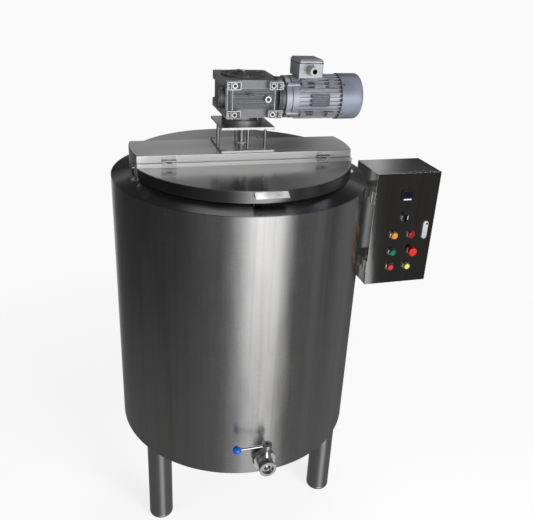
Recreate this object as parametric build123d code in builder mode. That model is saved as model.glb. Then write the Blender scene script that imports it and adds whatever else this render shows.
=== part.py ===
from build123d import *
import os
from math import asin, degrees, sqrt

# Insulated, jacketed bulk milk tank with a bridge-mounted worm-geared agitator drive.
# Millimetres. Origin on the floor at the tank's axis, +Z up, outlet valve towards -Y,
# control cabinet towards +X.

os.makedirs("parts", exist_ok=True)

UP = (Align.CENTER, Align.CENTER, Align.MIN)
RUN = 0.05          # radial clearance of a running fit
GAP = 0.5           # radial gap between faces that must not touch

# tank
SHELL_R = 375.0
SHELL_BOTTOM = 314.0
SHELL_TOP = 1136.0
SHEET = 2.0
VESSEL_R = 315.0
VESSEL_WALL = 3.0
VESSEL_TOP = 1176.0
VESSEL_FLOOR = 478.0
SUMP_R = 42.0
SUMP_TOP = 425.0
SUMP_BOTTOM = 350.0
SHOULDER_RISE = 17.5
JACKET_R = 331.0
JACKET_LOW = 500.0
JACKET_HIGH = 980.0
LEG_R = 38.0
LEG_WALL = 2.5
LEG_PITCH_R = 323.5
LEG_END_ROUND = 10.0

# lids and bridge
LID_R = 325.0
LID_TOP = 1184.0
LID_RIM_BOTTOM = 1152.0
BRIDGE_TOP = 1216.5
BRIDGE_FRONT = -90.5
BRIDGE_REAR = 68.5
BRIDGE_END_R = 322.0
BRIDGE_SHEET = 3.0
BRIDGE_SKIRT = 1158.0
HINGE_X = 223.0
HINGE_LENGTH = 39.0
HINGE_Z = 1200.0
HINGE_OUT = 5.1
PIN_R = 2.0
KNUCKLE_R = 4.0
HANDLE_WIDTH = 88.0

# drive
STAND_X = -1.0
STAND_Y = -9.0
STAND_W = 152.0
STAND_D = 154.0
STAND_BASE_T = 5.0
STAND_TOP_T = 6.0
STAND_TOP = 1286.0
POST_R = 4.75
SHAFT_R = 9.0
HOLLOW_BORE_R = 12.5
HOLLOW_R = 20.0
GEAR_BOTTOM = 1316.0
GEAR_TOP = 1415.0
WORM_Y = -63.0
DRIVE_Z = 1366.0
WHEEL_R = 44.6
WORM_R = 18.0
ROTOR_SHAFT_R = 7.0
FRAME_R = 53.0
FIN_R = 61.0
FRAME_X0 = 132.0
FRAME_X1 = 262.0
COVER_R = 63.0
COVER_X0 = 252.0
COVER_X1 = 318.0
BOX_X = 161.0
BOX_Z0 = DRIVE_Z + 58.0

# cabinet
CAB_X = 532.0
CAB_Z = 937.0
CAB_W = 220.0
CAB_H = 381.0
CAB_FRONT = -62.0
CAB_BACK = 94.0
DOOR_T = 16.0
CAB_SHEET = 1.5
BEZEL_R = 14.5
BEZEL_H = 6.0
NECK_R = 11.0
CAP_R = 9.2

# outlet valve
VALVE_Z = 375.0
PIPE_R = 19.0
PORT_R = 17.5
SEAT_R = 9.5
FERRULE_R = 25.2
FERRULE_T = 6.0
VALVE_Y = -413.0
VALVE_BACK = -393.0
VALVE_FRONT = -436.0
VALVE_R = 23.0
BALL_R = 14.0
MOUTH_DEPTH = 7.0
STEM_R = 4.0
HUB_R = 14.5
HUB_Z = VALVE_Z + 64
ROD_Z = VALVE_Z + 70
HUB_TOP = VALVE_Z + 76
KNOB_X = -88.0


def save(part, name):
    """Label one finished piece and write it under its own name."""
    part.label = name
    export_step(part, f"parts/{name}.step")


def drive_plane(x):
    """Plane across the worm and motor axis at x, looking along +X."""
    return Plane(origin=(x, WORM_Y, DRIVE_Z), x_dir=(0, 1, 0), z_dir=(1, 0, 0))


def front_plane(x, y, z):
    """Plane facing the front (-Y) at a point."""
    return Plane(origin=(x, y, z), x_dir=(1, 0, 0), z_dir=(0, -1, 0))


def half_plane_rect(flange_y, sign, reach=400.0):
    """Centre of a wide rectangle lying beyond a line parallel to X."""
    return (0, flange_y + sign * reach / 2)


PIPE_AXIS = front_plane(0, 0, VALVE_Z)
CONE_SLOPE = SHOULDER_RISE / (SHELL_R - VESSEL_R)

# ---------------------------------------------------------------- tank
with BuildPart() as outer_shell:
    with BuildSketch(Plane.XY.offset(SHELL_BOTTOM)):
        Circle(SHELL_R)
        Circle(SHELL_R - SHEET, mode=Mode.SUBTRACT)
    extrude(amount=SHELL_TOP - SHEET - SHELL_BOTTOM)
    with BuildSketch(PIPE_AXIS.offset(SHELL_R - 20)):
        Circle(PIPE_R + 0.3)
    extrude(amount=40, mode=Mode.SUBTRACT)
    with BuildSketch(Plane.XZ.offset(-SHELL_R - 20)):
        with Locations((-120, JACKET_LOW + 25), (120, JACKET_HIGH - 25)):
            Circle(11.0)
    extrude(amount=80, mode=Mode.SUBTRACT)
save(outer_shell.part, "outer_shell")

with BuildPart() as shoulder_cone:
    with BuildSketch(Plane.XZ):
        with BuildLine():
            Polyline(
                (SHELL_R, SHELL_TOP - SHEET),
                (SHELL_R, SHELL_TOP),
                (VESSEL_R, SHELL_TOP + SHOULDER_RISE),
                (VESSEL_R, SHELL_TOP + SHOULDER_RISE - SHEET),
                close=True,
            )
        make_face()
    revolve(axis=Axis.Z)
save(shoulder_cone.part, "shoulder_cone")

with BuildPart() as bottom_plate:
    with BuildSketch(Plane.XY.offset(SHELL_BOTTOM)):
        Circle(SHELL_R - SHEET)
    extrude(amount=3)
save(bottom_plate.part, "bottom_plate")

with BuildPart() as inner_vessel:
    with BuildSketch(Plane.XZ):
        with BuildLine():
            Polyline(
                (0, SUMP_BOTTOM),
                (SUMP_R + VESSEL_WALL, SUMP_BOTTOM),
                (SUMP_R + VESSEL_WALL, SUMP_TOP - VESSEL_WALL),
                (VESSEL_R, VESSEL_FLOOR - VESSEL_WALL),
                (VESSEL_R, VESSEL_TOP),
                (VESSEL_R - VESSEL_WALL, VESSEL_TOP),
                (VESSEL_R - VESSEL_WALL, VESSEL_FLOOR),
                (SUMP_R, SUMP_TOP),
                (SUMP_R, SUMP_BOTTOM + VESSEL_WALL),
                (0, SUMP_BOTTOM + VESSEL_WALL),
                close=True,
            )
        make_face()
    revolve(axis=Axis.Z)
    with BuildSketch(PIPE_AXIS.offset(SUMP_R - 20)):
        Circle(PIPE_R)
    extrude(amount=40, mode=Mode.SUBTRACT)
save(inner_vessel.part, "inner_vessel")

with BuildPart() as cooling_jacket:
    with BuildSketch(Plane.XZ):
        with Locations(((VESSEL_R + JACKET_R) / 2, (JACKET_LOW + JACKET_HIGH) / 2)):
            Rectangle(JACKET_R - VESSEL_R, JACKET_HIGH - JACKET_LOW)
        with Locations(((VESSEL_R + JACKET_R - SHEET) / 2, (JACKET_LOW + JACKET_HIGH) / 2)):
            Rectangle(
                JACKET_R - VESSEL_R - SHEET, JACKET_HIGH - JACKET_LOW - 2 * SHEET, mode=Mode.SUBTRACT
            )
    revolve(axis=Axis.Z)
    with BuildSketch(Plane.XZ.offset(-SHELL_R - 30)):
        with Locations((-120, JACKET_LOW + 25), (120, JACKET_HIGH - 25)):
            Circle(10.65)
    extrude(amount=100)
    with BuildSketch(Plane.XY.offset(JACKET_LOW + SHEET)):
        Circle(JACKET_R - SHEET)
    extrude(amount=JACKET_HIGH - JACKET_LOW - 2 * SHEET, mode=Mode.SUBTRACT)
    with BuildSketch(Plane.XZ.offset(-SHELL_R - 30)):
        with Locations((-120, JACKET_LOW + 25), (120, JACKET_HIGH - 25)):
            Circle(8.8)
    extrude(amount=100, mode=Mode.SUBTRACT)
save(cooling_jacket.part, "cooling_jacket")

with BuildPart() as insulation:
    with BuildSketch(Plane.XZ):
        with BuildLine():
            Polyline(
                (0, SHELL_BOTTOM + 3.5),
                (SHELL_R - SHEET - GAP, SHELL_BOTTOM + 3.5),
                (SHELL_R - SHEET - GAP, SHELL_TOP - 3),
                (VESSEL_R + GAP, SHELL_TOP + SHOULDER_RISE - 4),
                (VESSEL_R + GAP, JACKET_HIGH + GAP),
                (JACKET_R + GAP, JACKET_HIGH + GAP),
                (JACKET_R + GAP, JACKET_LOW - GAP),
                (VESSEL_R + GAP, JACKET_LOW - GAP),
                (VESSEL_R + GAP, VESSEL_FLOOR - VESSEL_WALL - GAP),
                (SUMP_R + VESSEL_WALL + GAP, SUMP_TOP - VESSEL_WALL - GAP),
                (SUMP_R + VESSEL_WALL + GAP, SUMP_BOTTOM - GAP),
                (0, SUMP_BOTTOM - GAP),
                close=True,
            )
        make_face()
    revolve(axis=Axis.Z)
    with BuildSketch(PIPE_AXIS.offset(SUMP_R - 20)):
        Circle(PIPE_R + GAP)
    extrude(amount=SHELL_R, mode=Mode.SUBTRACT)
    with BuildSketch(Plane.XZ.offset(-SHELL_R - 20)):
        with Locations((-120, JACKET_LOW + 25), (120, JACKET_HIGH - 25)):
            Circle(11.2)
    extrude(amount=150, mode=Mode.SUBTRACT)
save(insulation.part, "insulation")

with BuildPart() as outlet_pipe:
    with BuildSketch(PIPE_AXIS.offset(SUMP_R + VESSEL_WALL)):
        Circle(PIPE_R)
        Circle(PORT_R, mode=Mode.SUBTRACT)
    extrude(amount=-VALVE_BACK - SUMP_R - VESSEL_WALL)
    with BuildSketch(PIPE_AXIS.offset(-VALVE_BACK - FERRULE_T)):
        Circle(FERRULE_R)
        Circle(PORT_R, mode=Mode.SUBTRACT)
    extrude(amount=FERRULE_T)
save(outlet_pipe.part, "outlet_pipe")

with BuildPart() as legs:
    with PolarLocations(LEG_PITCH_R, 3, start_angle=90):
        Cylinder(LEG_R, SHELL_BOTTOM, align=UP)
    fillet(legs.edges().group_by(Axis.Z)[0], LEG_END_ROUND)
    with Locations((0, 0, LEG_END_ROUND + 2)):
        with PolarLocations(LEG_PITCH_R, 3, start_angle=90):
            Cylinder(LEG_R - LEG_WALL, SHELL_BOTTOM, align=UP, mode=Mode.SUBTRACT)
save(legs.part, "legs")

with BuildPart() as lid_gasket:
    with BuildSketch(Plane.XY.offset(VESSEL_TOP)):
        Circle(VESSEL_R + 2.5)
        Circle(VESSEL_R - 5, mode=Mode.SUBTRACT)
        with Locations((0, (BRIDGE_FRONT + BRIDGE_REAR) / 2)):
            Rectangle(800, BRIDGE_REAR - BRIDGE_FRONT + 2, mode=Mode.SUBTRACT)
    extrude(amount=LID_TOP - SHEET - 0.3 - VESSEL_TOP)
save(lid_gasket.part, "lid_gasket")

# ---------------------------------------------------------------- bridge and lids
BRIDGE_Y = (BRIDGE_FRONT + BRIDGE_REAR) / 2
BRIDGE_D = BRIDGE_REAR - BRIDGE_FRONT
with BuildPart() as bridge:
    with BuildSketch(Plane.XY.offset(BRIDGE_SKIRT)):
        Circle(BRIDGE_END_R)
        with Locations((0, BRIDGE_Y)):
            Rectangle(800, BRIDGE_D, mode=Mode.INTERSECT)
    extrude(amount=BRIDGE_TOP - BRIDGE_SKIRT)
    fillet(bridge.edges().group_by(Axis.Z)[-1], 2.0)
    with BuildSketch(Plane.XY.offset(BRIDGE_SKIRT)):
        Circle(BRIDGE_END_R - BRIDGE_SHEET)
        with Locations((0, BRIDGE_Y)):
            Rectangle(800, BRIDGE_D - 2 * BRIDGE_SHEET, mode=Mode.INTERSECT)
    extrude(amount=BRIDGE_TOP - BRIDGE_SHEET - BRIDGE_SKIRT, mode=Mode.SUBTRACT)
    with BuildSketch(Plane.XY.offset(BRIDGE_SKIRT)):
        Circle(VESSEL_R + GAP)
        Circle(VESSEL_R - VESSEL_WALL - GAP, mode=Mode.SUBTRACT)
    extrude(amount=VESSEL_TOP - BRIDGE_SKIRT, mode=Mode.SUBTRACT)
    with Locations((0, 0, BRIDGE_TOP - 20)):
        Cylinder(22, 40, mode=Mode.SUBTRACT)
save(bridge.part, "bridge")

BRACKET_W = 24.0
BRACKET_ANGLE = degrees(asin(70.0 / BRIDGE_END_R))
with BuildPart() as bridge_brackets:
    for angle in (180 + BRACKET_ANGLE, -BRACKET_ANGLE):
        radial = Plane.XY.rotated((0, 0, angle))
        side_plane = Plane(origin=(0, 0, 0), x_dir=radial.x_dir, z_dir=radial.y_dir)
        with BuildSketch(side_plane):
            with BuildLine():
                r0 = BRIDGE_END_R + 0.6
                r1 = r0 + 3.0
                r2 = r0 + 14.0
                z0 = SHELL_TOP + (SHELL_R - r0) * CONE_SLOPE + 0.5
                z2 = SHELL_TOP + (SHELL_R - r2) * CONE_SLOPE + 0.5
                flip = 1 if side_plane.y_dir.Z > 0 else -1
                Polyline(
                    (r0, flip * z0),
                    (r2, flip * z2),
                    (r2, flip * (z2 + 3)),
                    (r1, flip * (z0 + 3)),
                    (r1, flip * 1192.0),
                    (r0, flip * 1192.0),
                    close=True,
                )
            make_face()
        extrude(amount=BRACKET_W / 2, both=True)
        with Locations(Plane(origin=radial.x_dir * r1 + Vector(0, 0, 1180), z_dir=radial.x_dir)):
            Cylinder(6.5, 5, align=UP)
save(bridge_brackets.part, "bridge_brackets")

for side, sign, flange_y in (("front", -1, BRIDGE_FRONT), ("rear", 1, BRIDGE_REAR)):
    hinge_y = flange_y + sign * HINGE_OUT
    lid_edge = hinge_y - sign
    with BuildPart() as lid:
        with BuildSketch(Plane.XY.offset(LID_RIM_BOTTOM)):
            Circle(LID_R)
            with Locations(half_plane_rect(lid_edge, sign)):
                Rectangle(800, 400, mode=Mode.INTERSECT)
        extrude(amount=LID_TOP - LID_RIM_BOTTOM)
        fillet(lid.edges().group_by(Axis.Z)[-1].filter_by(GeomType.CIRCLE), 1.5)
        with BuildSketch(Plane.XY.offset(LID_RIM_BOTTOM)):
            Circle(LID_R - SHEET)
            with Locations(half_plane_rect(lid_edge, sign)):
                Rectangle(800, 400, mode=Mode.INTERSECT)
        extrude(amount=LID_TOP - SHEET - LID_RIM_BOTTOM, mode=Mode.SUBTRACT)
        upstand = sqrt(LID_R**2 - (abs(lid_edge) + SHEET) ** 2) - 2
        with BuildSketch(Plane.XY.offset(LID_TOP - 1)):
            with Locations((0, lid_edge + sign * SHEET / 2)):
                Rectangle(2 * upstand, SHEET)
        extrude(amount=12)
    save(lid.part, f"{side}_lid")

    with BuildPart() as handle:
        with BuildSketch(Plane.YZ.offset(-HANDLE_WIDTH / 2)):
            with BuildLine():
                Polyline(
                    (sign * 318, 1182.0), (sign * 325.2, 1182.0), (sign * 346, 1171.5), (sign * 318, 1171.5),
                    close=True,
                )
            make_face()
        extrude(amount=HANDLE_WIDTH)
        with BuildSketch(Plane.YZ.offset(2.5 - HANDLE_WIDTH / 2)):
            with BuildLine():
                Polyline(
                    (sign * 310, 1179.6), (sign * 324.0, 1179.6), (sign * 343.0, 1170.0), (sign * 310, 1170.0),
                    close=True,
                )
            make_face()
        extrude(amount=HANDLE_WIDTH - 5, mode=Mode.SUBTRACT)
        with Locations((0, 0, 1100)):
            Cylinder(LID_R + 0.1, 200, align=UP, mode=Mode.SUBTRACT)
    save(handle.part, f"{side}_lid_handle")

    with BuildPart() as hinge:
        for x in (-HINGE_X, HINGE_X):
            with BuildSketch(Plane.XY.offset(LID_TOP + 2)):
                with Locations((x, lid_edge + sign * (SHEET + 1))):
                    Rectangle(HINGE_LENGTH, 2)
            extrude(amount=9)
            for part_x in (x - 13, x + 13):
                with BuildSketch(Plane.XY.offset(LID_TOP + 2)):
                    with Locations((part_x, lid_edge + sign * (SHEET + 1))):
                        Rectangle(13, 2)
                extrude(amount=HINGE_Z - LID_TOP - 2)
                with Locations(Plane(origin=(part_x - 6.5, hinge_y, HINGE_Z), z_dir=(1, 0, 0))):
                    Cylinder(KNUCKLE_R, 13, align=UP)
        with Locations(Plane(origin=(-400, hinge_y, HINGE_Z), z_dir=(1, 0, 0))):
            Cylinder(PIN_R + RUN, 800, align=UP, mode=Mode.SUBTRACT)
    save(hinge.part, f"{side}_lid_hinges")

DOOR_HINGE_X = CAB_X - CAB_W / 2 - 4.5
DOOR_BACK = CAB_FRONT + DOOR_T
DOOR_HINGE_Y = DOOR_BACK + 0.5
DOOR_HINGE_Z = (811.0, 1048.0)
with BuildPart() as fixed_hinges:
    for sign, flange_y in ((-1, BRIDGE_FRONT), (1, BRIDGE_REAR)):
        hinge_y = flange_y + sign * HINGE_OUT
        for x in (-HINGE_X, HINGE_X):
            with BuildSketch(Plane.XY.offset(HINGE_Z + 5.5)):
                with Locations((x, flange_y + sign)):
                    Rectangle(HINGE_LENGTH, 2)
            extrude(amount=8)
            with BuildSketch(Plane.XY.offset(HINGE_Z)):
                with Locations((x, flange_y + sign * 1.5)):
                    Rectangle(12, 3)
            extrude(amount=6)
            with Locations(Plane(origin=(x - 6, hinge_y, HINGE_Z), z_dir=(1, 0, 0))):
                Cylinder(KNUCKLE_R, 12, align=UP)
            with Locations(Plane(origin=(x - 20, hinge_y, HINGE_Z), z_dir=(1, 0, 0))):
                Cylinder(PIN_R, 40, align=UP)
    for z in DOOR_HINGE_Z:
        with Locations((CAB_X - CAB_W / 2 - 1, DOOR_HINGE_Y + 12.5, z)):
            Box(2, 16, 40)
        with Locations((DOOR_HINGE_X, DOOR_HINGE_Y, z - 20)):
            Cylinder(KNUCKLE_R, 19.7, align=UP)
        with Locations((DOOR_HINGE_X + 3.25, DOOR_HINGE_Y + 3, z - 10.15)):
            Box(2.5, 5, 19.7)
        with Locations((DOOR_HINGE_X, DOOR_HINGE_Y, z - 20)):
            Cylinder(PIN_R, 40, align=UP)
save(fixed_hinges.part, "fixed_hinge_leaves")

# ---------------------------------------------------------------- drive stand
POSTS = [
    (STAND_X, STAND_Y - STAND_D / 2 + 6),
    (STAND_X, STAND_Y + STAND_D / 2 - 6),
    (STAND_X - STAND_W / 2 + 6, STAND_Y),
    (STAND_X + STAND_W / 2 - 6, STAND_Y),
]
BASE_TOP = BRIDGE_TOP + STAND_BASE_T
with BuildPart() as stand_base:
    with BuildSketch(Plane.XY.offset(BRIDGE_TOP)):
        with Locations((STAND_X, STAND_Y)):
            Rectangle(STAND_W, STAND_D)
        Circle(22, mode=Mode.SUBTRACT)
    extrude(amount=STAND_BASE_T)
save(stand_base.part, "stand_base_plate")

with BuildPart() as stand_top:
    with BuildSketch(Plane.XY.offset(STAND_TOP - STAND_TOP_T)):
        with Locations((STAND_X, STAND_Y)):
            Rectangle(STAND_W, STAND_D)
        Circle(24, mode=Mode.SUBTRACT)
    extrude(amount=STAND_TOP_T)
save(stand_top.part, "stand_top_plate")

with BuildPart() as stand_posts:
    with BuildSketch(Plane.XY.offset(BASE_TOP)):
        with Locations(*POSTS):
            Circle(POST_R)
    extrude(amount=STAND_TOP - STAND_TOP_T - BASE_TOP)
save(stand_posts.part, "stand_posts")

BRIDGE_UNDER = BRIDGE_TOP - BRIDGE_SHEET
SEAL_R = 14.0
SEAL_BOTTOM = BRIDGE_UNDER - 17
with BuildPart() as seal_housing:
    with BuildSketch(Plane.XY.offset(SEAL_BOTTOM)):
        Circle(19)
    extrude(amount=12)
    with BuildSketch(Plane.XY.offset(SEAL_BOTTOM + 12)):
        Circle(30)
    extrude(amount=5)
    with BuildSketch(Plane.XY.offset(BRIDGE_UNDER)):
        Circle(21.5)
    extrude(amount=BASE_TOP - BRIDGE_UNDER + 1.5)
    with BuildSketch(Plane.XY.offset(SEAL_BOTTOM)):
        Circle(SEAL_R)
    extrude(amount=BASE_TOP - SEAL_BOTTOM + 1.5, mode=Mode.SUBTRACT)
save(seal_housing.part, "seal_housing")

with BuildPart() as shaft_seal:
    with BuildSketch(Plane.XY.offset(SEAL_BOTTOM)):
        Circle(SEAL_R)
        Circle(SHAFT_R + RUN, mode=Mode.SUBTRACT)
    extrude(amount=BASE_TOP - SEAL_BOTTOM + 2.5)
save(shaft_seal.part, "shaft_seal")

# ---------------------------------------------------------------- gearbox
HOUSING_X0 = -71.0
HOUSING_X1 = 83.0
BOSS_X = -81.0
HOUSING_Y0 = -97.0
HOUSING_Y1 = 82.0
HOUSING_INSET = 7.0
FOOT_H = 22.0
SPIGOT_R = 50.0
BEARING_R = 34.0
WORM_BEARING_R = 23.5
INPUT_FLANGE_X = 88.0
FOOT_HOLES = [(3.2 + 52.8 * i, 38.5 * j) for i in (-1, 1) for j in (-1, 1)]
FOOT_PADS = [(6 + 58 * i, 38.5 * j) for i in (-1, 1) for j in (-1, 1)]
HOUSING_MID = ((HOUSING_X0 + HOUSING_X1) / 2, (HOUSING_Y0 + HOUSING_Y1) / 2)
HOUSING_W = HOUSING_X1 - HOUSING_X0
HOUSING_D = HOUSING_Y1 - HOUSING_Y0
with BuildPart() as gearbox_housing:
    with BuildSketch(Plane.XY.offset(GEAR_BOTTOM)):
        with Locations(HOUSING_MID):
            Rectangle(HOUSING_W - 2 * HOUSING_INSET, HOUSING_D - HOUSING_INSET)
    extrude(amount=GEAR_TOP - GEAR_BOTTOM)
    for z in (GEAR_BOTTOM, GEAR_TOP - FOOT_H):
        with BuildSketch(Plane.XY.offset(z)):
            with Locations(HOUSING_MID):
                Rectangle(HOUSING_W, HOUSING_D)
        extrude(amount=FOOT_H)
    chamfer(gearbox_housing.edges().filter_by(Axis.Z).group_by(Axis.Y)[-1], 6)
    with BuildSketch(front_plane(HOUSING_MID[0], HOUSING_Y0, DRIVE_Z)):
        with Locations((-HOUSING_W / 2 + 8, 0), (HOUSING_W / 2 - 8, 0)):
            Rectangle(16, GEAR_TOP - GEAR_BOTTOM)
    extrude(amount=-HOUSING_INSET)
    with BuildSketch(front_plane(0, HOUSING_Y0, DRIVE_Z - 0.5)):
        with Locations(*FOOT_PADS):
            Rectangle(38, 21)
    extrude(amount=4)
    with BuildSketch(front_plane(HOUSING_MID[0], HOUSING_Y0 + HOUSING_INSET / 2, DRIVE_Z)):
        with Locations((0, 19), (0, 7), (0, -7), (0, -19)):
            Rectangle(HOUSING_W - 32, 5)
    extrude(amount=2)
    with BuildSketch(front_plane(46, HOUSING_Y0 + HOUSING_INSET / 2, DRIVE_Z)):
        Circle(11)
    extrude(amount=HOUSING_INSET / 2 + 3)
    with BuildSketch(front_plane(0, HOUSING_Y0 - 4, DRIVE_Z - 0.5)):
        with Locations(*FOOT_HOLES):
            Circle(4.3)
    extrude(amount=-18, mode=Mode.SUBTRACT)
    with BuildSketch(drive_plane(HOUSING_X1 - HOUSING_INSET)):
        Circle(54)
    extrude(amount=INPUT_FLANGE_X - HOUSING_X1 + HOUSING_INSET)
    with BuildSketch(drive_plane(HOUSING_X0 + HOUSING_INSET)):
        Circle(30)
    extrude(amount=BOSS_X - HOUSING_X0 - HOUSING_INSET)
    with BuildSketch(Plane.XY.offset(GEAR_BOTTOM)):
        Circle(SPIGOT_R)
    extrude(amount=GEAR_TOP - GEAR_BOTTOM, mode=Mode.SUBTRACT)
    with BuildSketch(drive_plane(BOSS_X)):
        Circle(WORM_BEARING_R)
    extrude(amount=INPUT_FLANGE_X - BOSS_X, mode=Mode.SUBTRACT)
save(gearbox_housing.part, "gearbox_housing")

with BuildPart() as gearbox_cover:
    with BuildSketch(Plane.XY.offset(GEAR_TOP - 20)):
        Circle(SPIGOT_R)
    extrude(amount=20)
    with BuildSketch(Plane.XY.offset(GEAR_TOP)):
        Circle(62)
    extrude(amount=4)
    with BuildSketch(Plane.XY.offset(GEAR_TOP + 4)):
        Circle(30)
    extrude(amount=3)
    with BuildSketch(Plane.XY.offset(GEAR_TOP + 7)):
        Circle(15)
    extrude(amount=3)
    with BuildSketch(Plane.XY.offset(GEAR_TOP - 20)):
        Circle(BEARING_R)
    extrude(amount=15, mode=Mode.SUBTRACT)
    with BuildSketch(Plane.XY.offset(GEAR_TOP - 20)):
        Circle(HOLLOW_R + 2)
    extrude(amount=20, mode=Mode.SUBTRACT)
save(gearbox_cover.part, "gearbox_cover")

FLANGE_R = 58.0
FLANGE_T = 11.0
with BuildPart() as output_flange:
    with BuildSketch(Plane.XY.offset(STAND_TOP)):
        Circle(FLANGE_R)
    extrude(amount=FLANGE_T)
    with BuildSketch(Plane.XY.offset(STAND_TOP + FLANGE_T)):
        Circle(45)
    extrude(amount=GEAR_BOTTOM - STAND_TOP - FLANGE_T)
    with BuildSketch(Plane.XY.offset(GEAR_BOTTOM)):
        Circle(SPIGOT_R)
    extrude(amount=20)
    with BuildSketch(Plane.XY.offset(GEAR_BOTTOM + 5)):
        Circle(BEARING_R)
    extrude(amount=15, mode=Mode.SUBTRACT)
    with BuildSketch(Plane.XY.offset(STAND_TOP)):
        Circle(HOLLOW_R + 2)
    extrude(amount=GEAR_BOTTOM + 20 - STAND_TOP, mode=Mode.SUBTRACT)
save(output_flange.part, "output_flange")

with BuildPart() as worm_end_cap:
    with BuildSketch(drive_plane(BOSS_X)):
        Circle(28)
    extrude(amount=-6)
    with BuildSketch(drive_plane(BOSS_X)):
        Circle(WORM_BEARING_R)
    extrude(amount=3)
save(worm_end_cap.part, "worm_end_cap")

with BuildPart() as gearbox_screws:
    with BuildSketch(Plane.XY.offset(GEAR_TOP + 4)):
        with PolarLocations(55, 6, start_angle=30):
            Circle(4)
    extrude(amount=2)
    with BuildSketch(drive_plane(INPUT_FLANGE_X)):
        with PolarLocations(49.5, 4, start_angle=45):
            Circle(3.8)
    extrude(amount=4.5)
    with BuildSketch(front_plane(46, HOUSING_Y0 - 3, DRIVE_Z)):
        RegularPolygon(9, 6)
    extrude(amount=5)
    with BuildSketch(Plane.XY.offset(STAND_TOP + FLANGE_T)):
        with PolarLocations(51.5, 4, start_angle=45):
            Circle(4.5)
    extrude(amount=5)
save(gearbox_screws.part, "gearbox_screws")

with BuildPart() as worm_wheel:
    with BuildSketch(Plane.XY.offset(STAND_TOP + 12)):
        Circle(HOLLOW_R)
    extrude(amount=GEAR_TOP - 4 - STAND_TOP - 12)
    with BuildSketch(Plane.XY.offset(DRIVE_Z - 14)):
        Circle(WHEEL_R)
    extrude(amount=28)
    with BuildSketch(Plane.XY.offset(STAND_TOP + 12)):
        Circle(HOLLOW_BORE_R)
    extrude(amount=GEAR_TOP - STAND_TOP, mode=Mode.SUBTRACT)
save(worm_wheel.part, "worm_wheel")

with BuildPart() as worm:
    with BuildSketch(drive_plane(-72)):
        Circle(10)
    extrude(amount=144)
    with BuildSketch(drive_plane(-34)):
        Circle(WORM_R)
    extrude(amount=68)
    for i in range(6):
        with BuildSketch(drive_plane(-28.75 + 10 * i)):
            Circle(WORM_R + 1)
            Circle(WORM_R - 4, mode=Mode.SUBTRACT)
        extrude(amount=5, mode=Mode.SUBTRACT)
    with BuildSketch(drive_plane(20)):
        Circle(ROTOR_SHAFT_R)
    extrude(amount=60, mode=Mode.SUBTRACT)
save(worm.part, "worm")

# ---------------------------------------------------------------- agitator
PADDLE_Z = 560.0
with BuildPart() as agitator_shaft:
    with BuildSketch(Plane.XY.offset(500)):
        Circle(SHAFT_R)
    extrude(amount=STAND_TOP + 10 - 500)
    with BuildSketch(Plane.XY.offset(STAND_TOP + 10)):
        Circle(HOLLOW_BORE_R)
    extrude(amount=GEAR_TOP - 12 - STAND_TOP - 10)
save(agitator_shaft.part, "agitator_shaft")

with BuildPart() as agitator_paddle:
    with BuildSketch(Plane.XY.offset(PADDLE_Z - 30)):
        Circle(18)
    extrude(amount=60)
    for angle in (0, 180):
        blade_plane = Plane.YZ.rotated((0, 0, angle)).offset(14)
        with BuildSketch(Plane(origin=blade_plane.origin + Vector(0, 0, PADDLE_Z), x_dir=blade_plane.x_dir,
                               z_dir=blade_plane.z_dir)):
            Rectangle(5, 70, rotation=45)
        extrude(amount=150)
    with BuildSketch(Plane.XY.offset(PADDLE_Z - 60)):
        Circle(SHAFT_R)
    extrude(amount=120, mode=Mode.SUBTRACT)
save(agitator_paddle.part, "agitator_paddle")

# ---------------------------------------------------------------- motor
with BuildPart() as motor_frame:
    with BuildSketch(drive_plane(FRAME_X0)):
        Circle(FRAME_R)
        with PolarLocations((FRAME_R + FIN_R) / 2 - 1, 32, start_angle=5.6):
            Rectangle(FIN_R - FRAME_R + 2, 2.6)
    extrude(amount=FRAME_X1 - FRAME_X0)
    with BuildSketch(drive_plane(FRAME_X0 + 6)):
        with PolarLocations(FIN_R - 3, 4, start_angle=45):
            Rectangle(10, 20)
    extrude(amount=16)
    with BuildSketch(drive_plane(FRAME_X1 - 46)):
        with PolarLocations(FIN_R - 3, 4, start_angle=45):
            Rectangle(10, 20)
    extrude(amount=16)
    with BuildSketch(front_plane(190, WORM_Y - FRAME_R, DRIVE_Z)):
        Rectangle(50, 34)
    extrude(amount=FIN_R - FRAME_R + 0.5)
    with BuildSketch(Plane.XY.offset(DRIVE_Z)):
        with Locations((BOX_X, WORM_Y)):
            Rectangle(56, 56)
    extrude(amount=BOX_Z0 - DRIVE_Z)
    with BuildSketch(Plane.XY.offset(BOX_Z0)):
        with Locations((BOX_X, WORM_Y)):
            Rectangle(80, 120)
    extrude(amount=20, mode=Mode.SUBTRACT)
    with BuildSketch(drive_plane(FRAME_X0)):
        Circle(46)
    extrude(amount=FRAME_X1 - FRAME_X0, mode=Mode.SUBTRACT)
save(motor_frame.part, "motor_frame")

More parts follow.
